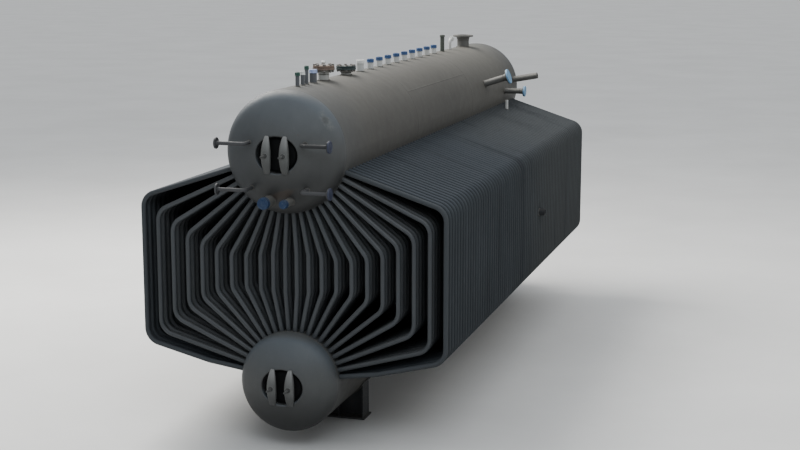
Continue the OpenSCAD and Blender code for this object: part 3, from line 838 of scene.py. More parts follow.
def long_bead(R, zc, ang, ya, yb, seed, w=0.016, h=0.002):
    """A straight seam along a drum."""
    rnd = random.Random(seed)
    n = int((yb - ya) / 0.012)
    a = math.radians(ang)
    e, t = np.array([math.cos(a), 0, math.sin(a)]), np.array([-math.sin(a), 0, math.cos(a)])
    sec = [(-0.5, -0.4), (-0.3, 0.55), (0, 1.0), (0.3, 0.55), (0.5, -0.4), (0, -2.2)]
    v, f = [], []
    for i in range(n + 1):
        y = ya + (yb - ya) * i / n
        k = 1 + (0.2 if i % 2 else -0.2)
        dx = 0.0008 * math.sin(i * 0.21 + seed) + rnd.uniform(-0.0004, 0.0004)
        for s, u in sec:
            p = e * (R + (u * h * (k if u > 0 else 1))) + t * (s * w + dx)
            v.append((p[0], y, p[2] + zc))
    m = len(sec)
    for i in range(n):
        for j in range(m):
            k = (j + 1) % m
            f.append((i * m + j, i * m + k, (i + 1) * m + k, (i + 1) * m + j))
    f.append(tuple(reversed(range(m))))
    f.append(tuple(range(n * m, (n + 1) * m)))
    return v, [tuple(reversed(q)) for q in f]


def seams(R, z, name, courses, longs, finish):
    g = Geo()
    for i, y in enumerate([FRONT + SKIRT, REAR - SKIRT] + courses):
        g.add(bead_ring(R, 0.017, 0.0015, 3 + i), Matrix.Translation((0, y, z)) @ Matrix.Rotation(math.radians(-90), 4, "X"))
    for i, (a, ya, yb) in enumerate(longs):
        g.add(long_bead(R, z, a, ya, yb, 11 + i))
    return g.make(name, finish, "drum_paint", sharp=60)


seams(R1, Z1, "steam_drum_seams", [-1.36, 1.24], [(152, FRONT + SKIRT, -1.36), (38, -1.36, 1.24), (146, 1.24, REAR - SKIRT)], mat_drum)
seams(R2, Z2, "mud_drum_seams", [-1.36, 1.24], [(-36, FRONT + SKIRT, -1.36), (216, -1.36, 1.24), (-40, 1.24, REAR - SKIRT)], mat_mud)


# ------------------------------------------------------------------ dished heads with a manhole ring
def head_form(R):
    rk, rc = 0.308 * R, 1.6 * R
    c = math.sqrt((rc - rk) ** 2 - (R - rk) ** 2)
    b0 = math.asin((R - rk) / (rc - rk))
    return rk, rc, c, b0, rc - c


def crown_z(R, q, inner=0.0):
    rk, rc, c, b0, D = head_form(R)
    return math.sqrt((rc - inner) ** 2 - q * q) - c


def oval_r(w, h, a):
    return 1 / math.sqrt((math.cos(a) / (w / 2)) ** 2 + (math.sin(a) / (h / 2)) ** 2)


MW, MH = 0.430, 0.360


def head(R, n=144, wall_t=0.020):
    rk, rc, c, b0, D = head_form(R)

    def column(a):
        I, O = oval_r(MW, MH, a), oval_r(MW + 0.056, MH + 0.056, a)
        e = 0.013                               # radius of the turned-in edge
        be = math.asin((I + e) / (rc - e))
        ze = math.sqrt((rc - e) ** 2 - (I + e) ** 2) - c
        out = [(R - 0.0015, -SKIRT), (R, -SKIRT + 0.0015), (R, -SKIRT * 0.5), (R, 0)]
        for i in range(1, 10):
            q = (math.pi / 2 - b0) * i / 9
            out.append((R - rk + rk * math.cos(q), rk * math.sin(q)))
        q0, q1 = rc * math.sin(b0), I + e + 0.006
        for i in range(1, 12):
            q = q0 + (q1 - q0) * i / 11
            out.append((q, crown_z(R, q)))
        for i in range(8):
            t = be - (be + math.pi / 2) * i / 7
            out.append((I + e + e * math.sin(t), ze + e * math.cos(t)))
        out += [(I, D - 0.055), (I, D - 0.0745)]
        out += [(O, D - 0.0745)]
        qi = O
        zi = crown_z(R, qi, wall_t)
        out.append((O, zi))
        qe = (rc - wall_t) * math.sin(b0)
        for i in range(1, 5):
            q = qi + (qe - qi) * i / 4
            out.append((q, crown_z(R, q, wall_t)))
        for i in range(1, 5):
            q = b0 + (math.pi / 2 - b0) * i / 4
            out.append((R - rk + (rk - wall_t) * math.sin(q), (rk - wall_t) * math.cos(q)))
        out.append((R - wall_t, -SKIRT))
        return out

    v, f = [], []
    cols = [column(2 * math.pi * j / n) for j in range(n)]
    m = len(cols[0])
    for i in range(m):
        for j in range(n):
            a = 2 * math.pi * j / n
            r, z = cols[j][i]
            v.append((r * math.cos(a), r * math.sin(a), z))
    for i in range(m):
        p, q = i * n, (i + 1) % m * n
        for j in range(n):
            k = (j + 1) % n
            f.append((p + j, p + k, q + k, q + j))
    return v, f


def oval_stack(levels, n=72, power=1.0):
    """Ovals (width, height, z) stacked from a centre to a centre."""
    v, f, rows = [], [], []
    for w, h, z in levels:
        if w < 1e-6:
            rows.append([len(v)])
            v.append((0, 0, z))
            continue
        row = []
        for j in range(n):
            a = 2 * math.pi * j / n
            r = oval_r(w, h, a)
            row.append(len(v))
            v.append((r * math.cos(a), r * math.sin(a), z))
        rows.append(row)
    for a, b in zip(rows[:-1], rows[1:]):
        for j in range(n):
            k = (j + 1) % n
            if len(a) == 1:
                f.append((a[0], b[k], b[j]))
            elif len(b) == 1:
                f.append((a[j], a[k], b[0]))
            else:
                f.append((a[j], a[k], b[k], b[j]))
    return v, f


def cover_plate(D):
    zf = D - 0.0765
    lv = [(0, 0, zf - 0.026)]
    for k, z in ((0.5, -0.026), (1.0, -0.026), (1.008, -0.024), (1.008, -0.003), (1.0, 0.0)):
        lv.append(((MW + 0.040) * k, (MH + 0.040) * k, zf + z))
    for w, z in ((-0.020, 0.0), (-0.034, 0.0022), (-0.046, 0.008), (-0.056, 0.0125), (-0.072, 0.0148), (-0.130, 0.016)):
        lv.append((MW + w, MH + w, zf + z))
    lv += [(0.20, 0.15, zf + 0.0185), (0.10, 0.06, zf + 0.0195), (0, 0, zf + 0.020)]
    return oval_stack(lv)


BOW = 0.093                      # distance of each manhole bow from the middle
BOW_TOP, BOW_H = 0.045, 0.190    # height of a bow in front of the crown, and half its length


def yoke(R, side, w0=0.098, w1=0.040, drop=0.056, turned=False):
    """A forged bow that stands on the crown above and below the hole, widest and rounded in the middle."""
    D = head_form(R)[4]
    ro = (BOW_H ** 2 + drop ** 2) / (2 * drop)
    n = 36
    v, f = [], []
    for i in range(n + 1):
        q = -1 + 2 * i / n
        y = BOW_H * q * (1 - 0.004 * abs(q))
        zo = D + BOW_TOP - ro + math.sqrt(ro * ro - y * y) - 0.0004
        low = q > 0 if turned else q < 0
        w = (0.056 if low else w1) + (w0 - (0.056 if low else w1)) * (1 - abs(q) ** (2.4 if low else 2.0)) - 0.0006
        if i in (0, n):
            w, zo = w - 0.006, zo - 0.003
        lo = [crown_z(R, math.hypot(side * BOW + x, y)) + 0.0010 for x in (-w / 2, w / 2)]
        a = min(0.030, (zo - max(lo)) * 0.62)
        sec = [(-w / 2, lo[0] + 0.002), (-w / 2 + 0.002, lo[0]), (w / 2 - 0.002, lo[1]), (w / 2, lo[1] + 0.002)]
        for k in range(13):
            t = math.pi * k / 12
            x = w / 2 * math.copysign(abs(math.cos(t)) ** 0.85, math.cos(t))
            sec.append((x, zo - a + a * math.sin(t) ** 0.85))
        v += [(x, y, z) for x, z in sec]
    m = len(sec)
    for i in range(n):
        for j in range(m):
            k = (j + 1) % m
            f.append((i * m + j, i * m + k, (i + 1) * m + k, (i + 1) * m + j))
    f.append(tuple(reversed(range(m))))
    f.append(tuple(range(n * m, (n + 1) * m)))
    return v, f


def fix_outward(vf):
    """Turns all faces if the volume comes out negative."""
    v, f = vf
    P = np.asarray(v, float)
    vol = 0.0
    for q in f:
        for i in range(1, len(q) - 1):
            vol += np.dot(P[q[0]], np.cross(P[q[i]], P[q[i + 1]]))
    if vol < 0:
        f = [tuple(reversed(q)) for q in f]
    return v, f


def dress_end(R, z, M, tag, nodes, finish):
    D = head_form(R)[4]
    Geo().add(head(R), M).make(f"{tag}_head_dished", finish, "head_paint", [nodes[0]], sharp=32)
    Geo().add(cover_plate(D), M).make(f"{tag}_manhole_door", mat_cover_painted_shade, "cover_paint", [nodes[1]])
    g = Geo()
    gasket = oval_stack([(0, 0, D - 0.0764), (MW + 0.008, MH + 0.008, D - 0.0764), (MW + 0.008, MH + 0.008, D - 0.0750),
                         (MW - 0.022, MH - 0.022, D - 0.0750), (MW - 0.022, MH - 0.022, D - 0.0760), (0, 0, D - 0.0761)])
    g.add(fix_outward(gasket), M)
    g.make(f"{tag}_manhole_gasket", mat_gasket, "dark_blank")
    g = Geo()
    for s in (-1, 1):
        Q = M @ move(s * BOW, 0, 0)
        g.add(fix_outward(yoke(R, s, turned=M[2][1] < 0)), Q)
        top = D + BOW_TOP
        g.add(lathe([(0, top - 0.020), (0.029, top - 0.020), (0.029, top - 0.0015), (0.0275, top + 0.0003), (0, top + 0.0003)], 32), Q)
    g.make(f"{tag}_manhole_bows", mat_yoke, "yoke_steel", [nodes[2]])
    g = Geo()
    for s in (-1, 1):
        Q = M @ move(s * BOW, 0, 0)
        top = D + BOW_TOP + 0.0003
        g.add(washer(0.024, 0.0035), Q @ move(z=top))
        g.add(nut(0.036, 0.0185), Q @ move(z=top + 0.0035) @ Matrix.Rotation(0.3 * s + 0.2, 4, "Z"))
        g.add(stud(0.024, D - 0.064, D + 0.1463), Q)
        g.add(nut(0.041, 0.016), Q @ move(z=D - 0.0605) @ Matrix.Rotation(0.5 * s, 4, "Z"))
    g.make(f"{tag}_manhole_studs", mat_stud, "yoke_steel")


dress_end(R1, Z1, front_end(Z1), "steam_front", ("steam_drum_front_head", "front_manhole_cover", "front_manhole_yokes"), mat_front_head)
dress_end(R1, Z1, rear_end(Z1), "steam_rear", ("steam_drum_rear_head", "rear_manhole_cover", "rear_manhole_yokes"), mat_head)
dress_end(R2, Z2, front_end(Z2), "mud_front", ("mud_drum_front_head", "mud_front_manhole_cover", "mud_front_manhole_yokes"), mat_head)
dress_end(R2, Z2, rear_end(Z2), "mud_rear", ("mud_drum_rear_head", "mud_rear_manhole_cover", "mud_rear_manhole_yokes"), mat_head)

# ------------------------------------------------------------------ tube bank and tube walls
bank(Geo(), range(1, 6), 1, 21).make("right_inner_bank", mat_tube, "tube_paint", ["right_inner_tubes"])
bank(Geo(), range(1, 6), -1, 22).make("left_inner_bank", mat_tube, "tube_paint", ["left_inner_tubes"])
bank(Geo(), range(6, 11), 1, 23).make("right_outer_bank", mat_tube, "tube_paint", ["right_outer_tubes"])
bank(Geo(), range(6, 11), -1, 24).make("left_outer_bank", mat_tube, "tube_paint", ["left_outer_tubes"])
wall(Geo(), 1, 25).make("right_membrane_wall", mat_wall, "wall_paint", ["right_side_wall"])
wall(Geo(), -1, 26).make("left_membrane_wall", mat_wall, "wall_paint", ["left_side_wall"])


# ------------------------------------------------------------------ nozzles
def flange_part(r_in, r_out, z0, z1, pcd=None, n=0, hole=0.0, seg=None, face=0.0):
    """A flat flange ring with real bolt holes, its outer edges broken."""
    b = 0.0015
    if not n:
        return ring([(r_in, z0), (r_out - b, z0), (r_out, z0 + b), (r_out, z1 - b), (r_out - b, z1), (r_in, z1)], 64)
    per = 12                                    # points round a hole and round its sector
    ph, rh = pcd / 2, hole / 2
    v, f = [], []

    def vert(x, y, z):
        v.append((x, y, z))
        return len(v) - 1

    half = math.pi / n
    edges = []                                  # sector outline: (radius, angle)
    q = per // 4
    for i in range(q):
        edges.append((r_in, -half + 2 * half * i / q, "i"))
    for i in range(q):
        edges.append((r_in + (r_out - b - r_in) * i / q, half, "s"))
    for i in range(q):
        edges.append((r_out - b, half - 2 * half * i / q, "o"))
    for i in range(q):
        edges.append((r_out - b - (r_out - b - r_in) * i / q, -half, "s"))
    for s in range(n):
        mid = 2 * math.pi * (s + 0.5) / n
        cx, cy = ph * math.cos(mid), ph * math.sin(mid)
        for z, top in ((z1, True), (z0, False)):
            o, h = [], []
            for r, a, _ in edges:
                o.append(vert(r * math.cos(mid + a), r * math.sin(mid + a), z))
            for r, a, _ in edges:
                x, y = r * math.cos(mid + a) - cx, r * math.sin(mid + a) - cy
                t = math.atan2(y, x)
                h.append(vert(cx + rh * math.cos(t), cy + rh * math.sin(t), z))
            for i in range(per):
                k = (i + 1) % per
                # the outline runs clockwise seen from the inside edge, so test the winding by area
                quad = (o[i], o[k], h[k], h[i])
                A = sum(v[quad[a]][0] * v[quad[(a + 1) % 4]][1] - v[quad[(a + 1) % 4]][0] * v[quad[a]][1] for a in range(4))
                if (A > 0) != top:
                    quad = tuple(reversed(quad))
                f.append(quad)
            if top:
                ht = h
            else:
                hb = h
        for i in range(per):
            k = (i + 1) % per
            quad = (ht[i], ht[k], hb[k], hb[i])
            c = np.mean([v[t] for t in quad], axis=0)
            nrm = np.cross(np.array(v[quad[1]]) - v[quad[0]], np.array(v[quad[2]]) - v[quad[0]])
            if np.dot(nrm, np.array([cx - c[0], cy - c[1], 0])) < 0:
                quad = tuple(reversed(quad))
            f.append(quad)
        # rim and bore of this sector
        for i in range(q):
            a0, a1 = mid - half + 2 * half * i / q, mid - half + 2 * half * (i + 1) / q
            lv = [(r_out - b, z0), (r_out, z0 + b), (r_out, z1 - b), (r_out - b, z1)]
            for (ra, za), (rb, zb) in zip(lv[:-1], lv[1:]):
                f.append((vert(ra * math.cos(a0), ra * math.sin(a0), za), vert(ra * math.cos(a1), ra * math.sin(a1), za),
                          vert(rb * math.cos(a1), rb * math.sin(a1), zb), vert(rb * math.cos(a0), rb * math.sin(a0), zb)))
            f.append((vert(r_in * math.cos(a0), r_in * math.sin(a0), z1), vert(r_in * math.cos(a1), r_in * math.sin(a1), z1),
                      vert(r_in * math.cos(a1), r_in * math.sin(a1), z0), vert(r_in * math.cos(a0), r_in * math.sin(a0), z0)))
    return weld_points(v, f)


def weld_points(v, f, tol=1e-6):
    key, new, remap = {}, [], []
    for p in v:
        k = tuple(round(c / tol) for c in p)
        if k not in key:
            key[k] = len(new)
            new.append(p)
        remap.append(key[k])
    out = []
    for q in f:
        t = [remap[i] for i in q]
        t = [a for i, a in enumerate(t) if a != t[i - 1]]
        if len(t) > 2:
            out.append(tuple(t))
    return new, out


def pipe(r, bore, z0, z1, n=40, prep=0.0):
    """A pipe, open at the top, with a weld preparation or a plain end."""
    t = r - bore
    e = min(t * 0.7, 0.004)
    if prep:
        tip = [(r, z1 - t * 0.75), (bore + t * 0.25, z1), (bore, z1)]
    else:
        tip = [(r, z1 - 0.0012), (r - 0.0012, z1), (bore + 0.0008, z1), (bore, z1 - 0.0008)]
    return ring([(bore, z0), (r, z0), (r, (z0 + z1) / 2)] + tip, n)


def cap(g, M, rc, rs, top=0.022, skirt=0.022, n=48, tone=0.5):
    """A push-on cap with a grip rim, over the end of a pipe at z = 0."""
    prof = [(0, 0.0006), (rs + 0.0006, 0.0006), (rs + 0.0006, -skirt), (rc - 0.0015, -skirt), (rc, -skirt + 0.0015), (rc, -skirt + 0.0055),
            (rc - 0.0022, -skirt + 0.0075), (rc - 0.0026, top - 0.0075), (rc - 0.0034, top - 0.0032), (rc - 0.0055, top - 0.0008), (rc - 0.0085, top),
            (rc * 0.70, top), (rc * 0.66, top - 0.0030), (rc * 0.22, top - 0.0030), (rc * 0.17, top - 0.0012), (0, top - 0.0012)]
    return g.add(lathe(prof, n, flute=((6, 7), 0.0011)), M, tone)


def bolts(g, M, pcd, n, d, z_low, z_high, head=True):
    """Bolts through a flange pair: head and washer on top, nut and thread end below."""
    for i in range(n):
        a = 2 * math.pi * (i + 0.5) / n
        Q = M @ Matrix.Rotation(a, 4, "Z") @ move(pcd / 2, 0, 0)
        spin = Matrix.Rotation(0.37 * i + 0.11, 4, "Z")
        g.add(washer(d * 0.98, 0.003), Q @ move(z=z_high))
        g.add(nut(d * 1.5, d * 0.65), Q @ move(z=z_high + 0.003) @ spin)
        g.add(washer(d * 0.98, 0.003), Q @ move(z=z_low - 0.003))
        g.add(nut(d * 1.5, d * 0.85), Q @ move(z=z_low - 0.003 - d * 0.85) @ spin)
        g.add(stud(d, z_low - 0.003 - d * 1.25, z_low - 0.002), Q)


welds = Geo()
bolting = Geo()


def nozzle(g, y, a, d, bore, h, fd=None, ft=0.0, pcd=0.0, n=0, hole=0.0, hub=0.012, seed=1, bead=0.0065, prep=0.0, seg=44):
    """A pipe on the steam drum, with a welding-neck flange if fd is given."""
    M = on_drum(y, a)
    r = d / 2
    z0 = R1 - 0.014
    top = R1 + h
    if fd:
        back = top - ft
        hub = min(hub, (pcd - hole) / 2 - r - 0.004) if pcd else hub
        L = min(0.045, h * 0.35)
        g.add(ring([(bore / 2, z0), (r, z0), (r, R1 + (h - ft - L) * 0.5), (r, back - L), (r + hub * 0.25, back - L * 0.7), (r + hub, back - 0.006), (r + hub + 0.004, back + 0.0002),
                    (bore / 2 + 0.004, back + 0.0002), (bore / 2, back + 0.0002)], seg), M)
        face = 0.0022
        g.add(flange_part(bore / 2, fd / 2, back, top - face, pcd, n, hole), M)
        rf = (pcd - hole) / 2 - 0.006
        g.add(ring([(bore / 2, top - face - 0.001), (rf, top - face - 0.001), (rf, top - 0.0006), (rf - 0.0006, top), (bore / 2, top)], seg), M)
        # small bead where the neck is welded to the pipe
        zb = back - L - 0.004
        P = [((r) * math.cos(2 * math.pi * j / 60), (r) * math.sin(2 * math.pi * j / 60), zb) for j in range(60)]
        P = [tuple(M @ Vector(p)) for p in P]
        welds.add(sweep(P, ripple(P, 0.0030, seed=seed + 5), 5, closed=True))
    else:
        g.add(pipe(r, bore / 2, z0, top, seg, prep), M)
    welds.add(drum_weld(y, a, r, bead, seed))
    return M


# crown, near the front: four small stubs
vents = [(0.250, 0.042, 0.125), (0.400, 0.042, 0.125), (0.515, 0.038, 0.170), (0.710, 0.076, 0.120)]
g = Geo()
for i, (y, d, h) in enumerate(vents):
    nozzle(g, y, 90, d, d - 0.012, h, seed=30 + i, bead=0.0055, seg=32)
g.make("vent_stub_pipes", mat_vent, "nozzle_paint", ["vent_stubs"])
g, w, pb = Geo(), Geo(), Geo()
for i, (y, d, h) in enumerate(vents):
    target = (g, w, g, pb)[i]
    cap(target, on_drum(y, 90) @ move(z=R1 + h), d / 2 + 0.007, d / 2, top=0.0182, skirt=0.020, n=40)
g.make("vent_cap_green", mat_green_cap, "dark_blank", ["vent_caps"])
w.make("vent_cap_white", mat_white, "pale_blue_cap")
pb.make("vent_cap_pale", mat_lavender_cap, "pale_blue_cap")

# safety valve nozzle with its blank, knob and bolts
g = Geo()
M = nozzle(g, 1.035, 90, 0.114, 0.098, 0.135, 0.235, 0.024, 0.190, 8, 0.022, seed=41, bead=0.008)
g.make("safety_valve_neck", mat_valve_neck, "nozzle_paint", ["safety_valve_nozzle"])
zt = R1 + 0.1353
g = Geo()
g.add(ring([(0.004, zt), (0.111, zt), (0.1125, zt + 0.0015), (0.1125, zt + 0.0185), (0.111, zt + 0.020), (0.004, zt + 0.020)], 64), M)
g.add(lathe([(0, zt + 0.001), (0.005, zt + 0.001), (0.005, zt + 0.0195), (0, zt + 0.0195)], 24), M)
g.make("safety_valve_plate", mat_plate, "primer_plate", ["safety_valve_blank"])
Geo().add(lathe([(0, zt + 0.0198), (0.0125, zt + 0.0198), (0.0125, zt + 0.028), (0.011, zt + 0.036), (0.014, zt + 0.0405), (0.021, zt + 0.043), (0.0238, zt + 0.048),
                 (0.0240, zt + 0.055), (0.0225, zt + 0.062), (0.017, zt + 0.0668), (0.008, zt + 0.0686), (0, zt + 0.0688)], 32), M).make("safety_valve_knob", mat_white, "primer_plate")
bolts(bolting, M, 0.190, 8, 0.020, R1 + 0.135 - 0.024, zt + 0.020)

# low nozzle with a dark blank
g = Geo()
M = nozzle(g, 1.765, 90, 0.114, 0.098, 0.080, 0.220, 0.022, 0.180, 8, 0.018, seed=43, bead=0.008)
g.make("low_neck", mat_low_neck, "nozzle_paint", ["low_nozzle"])
zt = R1 + 0.0803
Geo().add(ring([(0.003, zt), (0.1055, zt), (0.107, zt + 0.0015), (0.107, zt + 0.0190), (0.1055, zt + 0.0205), (0.060, zt + 0.0205), (0.057, zt + 0.0215), (0.003, zt + 0.0215)], 64), M) \
    .add(lathe([(0, zt + 0.001), (0.004, zt + 0.001), (0.004, zt + 0.0210), (0, zt + 0.0210)], 16), M).make("low_plate", mat_darkplate, "dark_blank", ["low_nozzle_blank"])
bolts(bolting, M, 0.180, 8, 0.016, R1 + 0.080 - 0.022, zt + 0.0205)

# riser stubs in a row, the first one a little larger
risers = [(2.272, 0.080, 0.107)] + [(2.640 + 0.345 * i, 0.070, 0.095) for i in range(9)]
g, c, w = Geo(), Geo(), Geo()
for i, (y, d, h) in enumerate(risers):
    nozzle(g, y, 90, d, d - 0.012, h, seed=50 + i, bead=0.0065, seg=36)
    cap(w if i == 0 else c, on_drum(y, 90) @ move(z=R1 + h), d / 2 + 0.008, d / 2, top=0.0222, skirt=0.018, n=44)
g.make("riser_stub_pipes", mat_pale, "nozzle_paint", ["riser_stubs"])
c.make("riser_stub_caps", mat_riser_blue, "blue_cap", ["riser_caps"])
w.make("riser_cap_white", mat_white, "pale_blue_cap")

# post near the rear, with an open screwed end
g = Geo()
M = nozzle(g, 5.844, 90, 0.057, 0.045, 0.225 - 0.004, seed=71, bead=0.006, seg=36)
g.add(ring([(0.0286, R1 + 0.196), (0.0330, R1 + 0.197), (0.0342, R1 + 0.1985), (0.0342, R1 + 0.2225), (0.0330, R1 + 0.2245), (0.0286, R1 + 0.2250)], 36), M)
g.make("rear_post", mat_green, "nozzle_paint", ["gauge_post"])

# bleed pipe: up, round an elbow and back to a collar
yb, hb, rb = 6.250, 0.100, 0.045
P = [(0, 0, R1 - 0.014), (0, 0, R1 + hb * 0.5), (0, 0, R1 + hb)]
for j in range(1, 10):
    t = math.pi / 2 * j / 9
    P.append((0, rb - rb * math.cos(t), R1 + hb + rb * math.sin(t)))
P.append((0, rb + 0.030, R1 + hb + rb))
M = on_drum(yb, 90)
g = Geo()
g.add(sweep(P, 0.021, 28), M)
C = M @ move(0, rb, R1 + hb + rb) @ Matrix.Rotation(math.radians(-90), 4, "X")
g.add(ring([(0.0155, 0.028), (0.021, 0.028), (0.021, 0.0585), (0.0195, 0.060), (0.0165, 0.060), (0.0150, 0.0585)], 32), C)
g.make("bleed_elbow", mat_pale, "nozzle_paint", ["bleed_pipe"])
g = Geo()
g.add(ring([(0.0212, 0.040), (0.0345, 0.040), (0.036, 0.0415), (0.036, 0.0575), (0.0345, 0.0592), (0.0212, 0.0592)], 48), C)
g.make("bleed_collar", mat_white, "nozzle_paint")
welds.add(drum_weld(yb, 90, 0.021, 0.005, 73))

# steam outlet
g = Geo()
M = nozzle(g, 6.995, 90, 0.168, 0.154, 0.168, 0.285, 0.026, 0.240, 8, 0.022, seed=75, bead=0.010, seg=64)
g.make("steam_outlet_neck", mat_pipe, "nozzle_paint", ["steam_outlet"])

# side inlets with push-on covers
g, c = Geo(), Geo()
for y, a, d, bore, h, fd, ft, pcd, n, rc, seed in ((5.900, 18, 0.089, 0.077, 0.345, 0.190, 0.020, 0.150, 8, 0.099, 81), (7.000, 0, 0.076, 0.064, 0.290, 0.145, 0.018, 0.110, 4, 0.076, 83)):
    M = nozzle(g, y, a, d, bore, h, fd, ft, pcd, n, 0.018, seed=seed, bead=0.007)
    z = R1 + h
    rf = fd / 2
    c.add(lathe([(0, z + 0.0006), (rf + 0.0008, z + 0.0006), (rf + 0.0008, z - 0.010), (rc - 0.0010, z - 0.010), (rc, z - 0.009), (rc, z + 0.0095), (rc - 0.0012, z + 0.0115),
                 (rc - 0.0035, z + 0.0123), (rc - 0.012, z + 0.0123), (rc - 0.014, z + 0.0100), (rc * 0.45, z + 0.0100), (rc * 0.42, z + 0.0118), (rc * 0.20, z + 0.0118), (rc * 0.18, z + 0.0095), (0, z + 0.0095)], 56), M)
g.make("side_inlet_necks", mat_pipe, "nozzle_paint", ["side_inlet_nozzles"])
c.make("side_inlet_caps", mat_pale_blue, "pale_blue_cap", ["side_inlet_covers"])
g = Geo()
nozzle(g, 7.600, 10.5, 0.089, 0.078, 0.370, seed=85, bead=0.007, prep=1)
g.make("open_inlet_pipe", mat_pipe, "nozzle_paint", ["open_side_inlet"])

# ------------------------------------------------------------------ front head: gauge pipes and stubs
D1 = head_form(R1)[4]
TOPG = 0.315 + 0.086


def head_weld(cx, cy, r, bead, seed, M, R=R1):
    n = max(36, int(2 * math.pi * r / 0.0048) // 2 * 2)
    P = []
    for j in range(n):
        t = 2 * math.pi * j / n
        x, y = cx + (r + bead * 0.25) * math.cos(t), cy + (r + bead * 0.25) * math.sin(t)
        P.append(tuple(M @ Vector((x, y, crown_z(R, math.hypot(x, y)) + bead * 0.2))))
    return sweep(P, ripple(P, bead, seed=seed), 7, closed=True)


F = front_end(Z1)
g, c = Geo(), Geo()
for side in (-1, 1):
    for up in (0.115, -0.340):
        x0, rr = 0.290, 0.050
        low = crown_z(R1, math.hypot(x0, up)) - 0.012
        P = [(x0, up, low), (x0, up, (low + TOPG - rr) / 2), (x0, up, TOPG - rr)]
        for j in range(1, 10):
            t = math.pi / 2 * j / 9
            P.append((x0 + rr - rr * math.cos(t), up, TOPG - rr + rr * math.sin(t)))
        P += [(x0 + rr + 0.05, up, TOPG), (0.590 - 0.040, up, TOPG), (0.590 - 0.018, up, TOPG)]
        P = [(side * p[0], p[1], p[2]) for p in P]
        rad = [0.019] * (len(P) - 2) + [0.019, 0.024]
        shade_of = {(-1, True): 0.80, (1, True): 0.15, (-1, False): 0.85, (1, False): 0.90}[side, up > 0]
        g.add(sweep(P, rad, 24), F, shade_of)
        A = F @ move(side * 0.590, up, TOPG) @ Matrix.Rotation(math.radians(90 * side), 4, "Y")
        g.add(flange_part(0.014, 0.0575, -0.018, -0.0015, 0.085, 4, 0.014), A, shade_of)
        g.add(ring([(0.014, -0.0022), (0.0335, -0.0022), (0.0335, -0.0005), (0.0330, 0.0), (0.014, 0.0)], 40), A, shade_of)
        g.add(ring([(0.0136, -0.060), (0.0160, -0.060), (0.0160, -0.004), (0.0140, -0.004)], 24), A)
        welds.add(head_weld(side * x0, up, 0.019, 0.0055, 90 + int(up * 10) + side, F))
        if side > 0:
            rf, rc = 0.0575, 0.060
            c.add(lathe([(0, 0.0006), (rf + 0.0005, 0.0006), (rf + 0.0005, -0.008), (rc - 0.0008, -0.008), (rc, -0.007), (rc, 0.0080), (rc - 0.0012, 0.0098), (rc - 0.003, 0.0102),
                         (rc - 0.010, 0.0102), (rc - 0.0115, 0.0085), (rc * 0.4, 0.0085), (rc * 0.36, 0.0098), (0, 0.0098)], 44), A)
g.make("level_gauge_pipes", mat_gauge, "nozzle_paint", ["level_gauge_nozzles"])
c.make("level_gauge_caps", mat_slate_cap, "pale_blue_cap", ["gauge_flange_covers"])

g, c = Geo(), Geo()
for s, d, dc in ((-1, 0.108, 0.124), (1, 0.076, 0.090)):
    x, y = s * 0.105, -0.466
    low = crown_z(R1, math.hypot(x, y) + d / 2) - 0.008
    g.add(pipe(d / 2, d / 2 - 0.006, low, D1 + 0.066, 44), F @ move(x, y, 0))
    cap(c, F @ move(x, y, D1 + 0.066), dc / 2, d / 2, top=0.022, skirt=0.026, n=52)
    welds.add(head_weld(x, y, d / 2, 0.0065, 97 + s, F))
g.make("head_feed_pipes", mat_pipe, "nozzle_paint", ["head_feed_stubs"])
c.make("head_feed_caps", mat_blue, "blue_cap", ["head_stub_caps"])

# ------------------------------------------------------------------ stubs on the walls and under the mud drum
a11 = math.radians(6.845 * 10.5)
zr = Z1 - 0.740 * math.tan(math.pi / 2 - a11) + TR / math.sin(a11)
g = Geo()
M = move(0.740, Y0 + 6.600, zr)
g.add(ring([(0.0165, -0.020), (0.0225, -0.020), (0.0225, 0.060), (0.0225, 0.1210), (0.0212, 0.1225), (0.0175, 0.1225), (0.0165, 0.1215)], 32), M)
g.make("roof_stub_pipe", mat_pale, "nozzle_paint", ["roof_stub"])
P = []
for j in range(60):
    t = 2 * math.pi * j / 60
    x, y = 0.0235 * math.cos(t), 0.0235 * math.sin(t)
    P.append((0.740 + x, Y0 + 6.600 + y, zr - x * math.tan(math.pi / 2 - a11) - 0.001))
welds.add(sweep(P, ripple(P, 0.005, seed=8), 6, closed=True))

g = Geo()
for s in (-1, 1):
    Q = Matrix.Translation((s * 1.618, 0.667, Z1 - 1.298)) @ Matrix.Rotation(math.radians(90 * s), 4, "Y")
    z1 = TR + 0.0003 + 0.070
    g.add(ring([(0.0380, 0.0), (0.0445, 0.0), (0.0445, 0.05), (0.0445, z1 - 0.0015), (0.0430, z1), (0.0390, z1), (0.0380, z1 - 0.001)], 44), Q)
    g.add(lathe([(0, 0.001), (0.0385, 0.001), (0.0385, 0.0375), (0, 0.0375)], 32), Q)
    P = [tuple(Q @ Vector((0.0455 * math.cos(2 * math.pi * j / 70), 0.0455 * math.sin(2 * math.pi * j / 70), TR - 0.008 + 0.006 * abs(math.cos(2 * math.pi * j / 70))))) for j in range(70)]
    welds.add(sweep(P, ripple(P, 0.0060, seed=9 + s), 6, closed=True))
g.make("wall_stub_pipes", mat_wall_stub, "nozzle_paint", ["wall_stubs"])

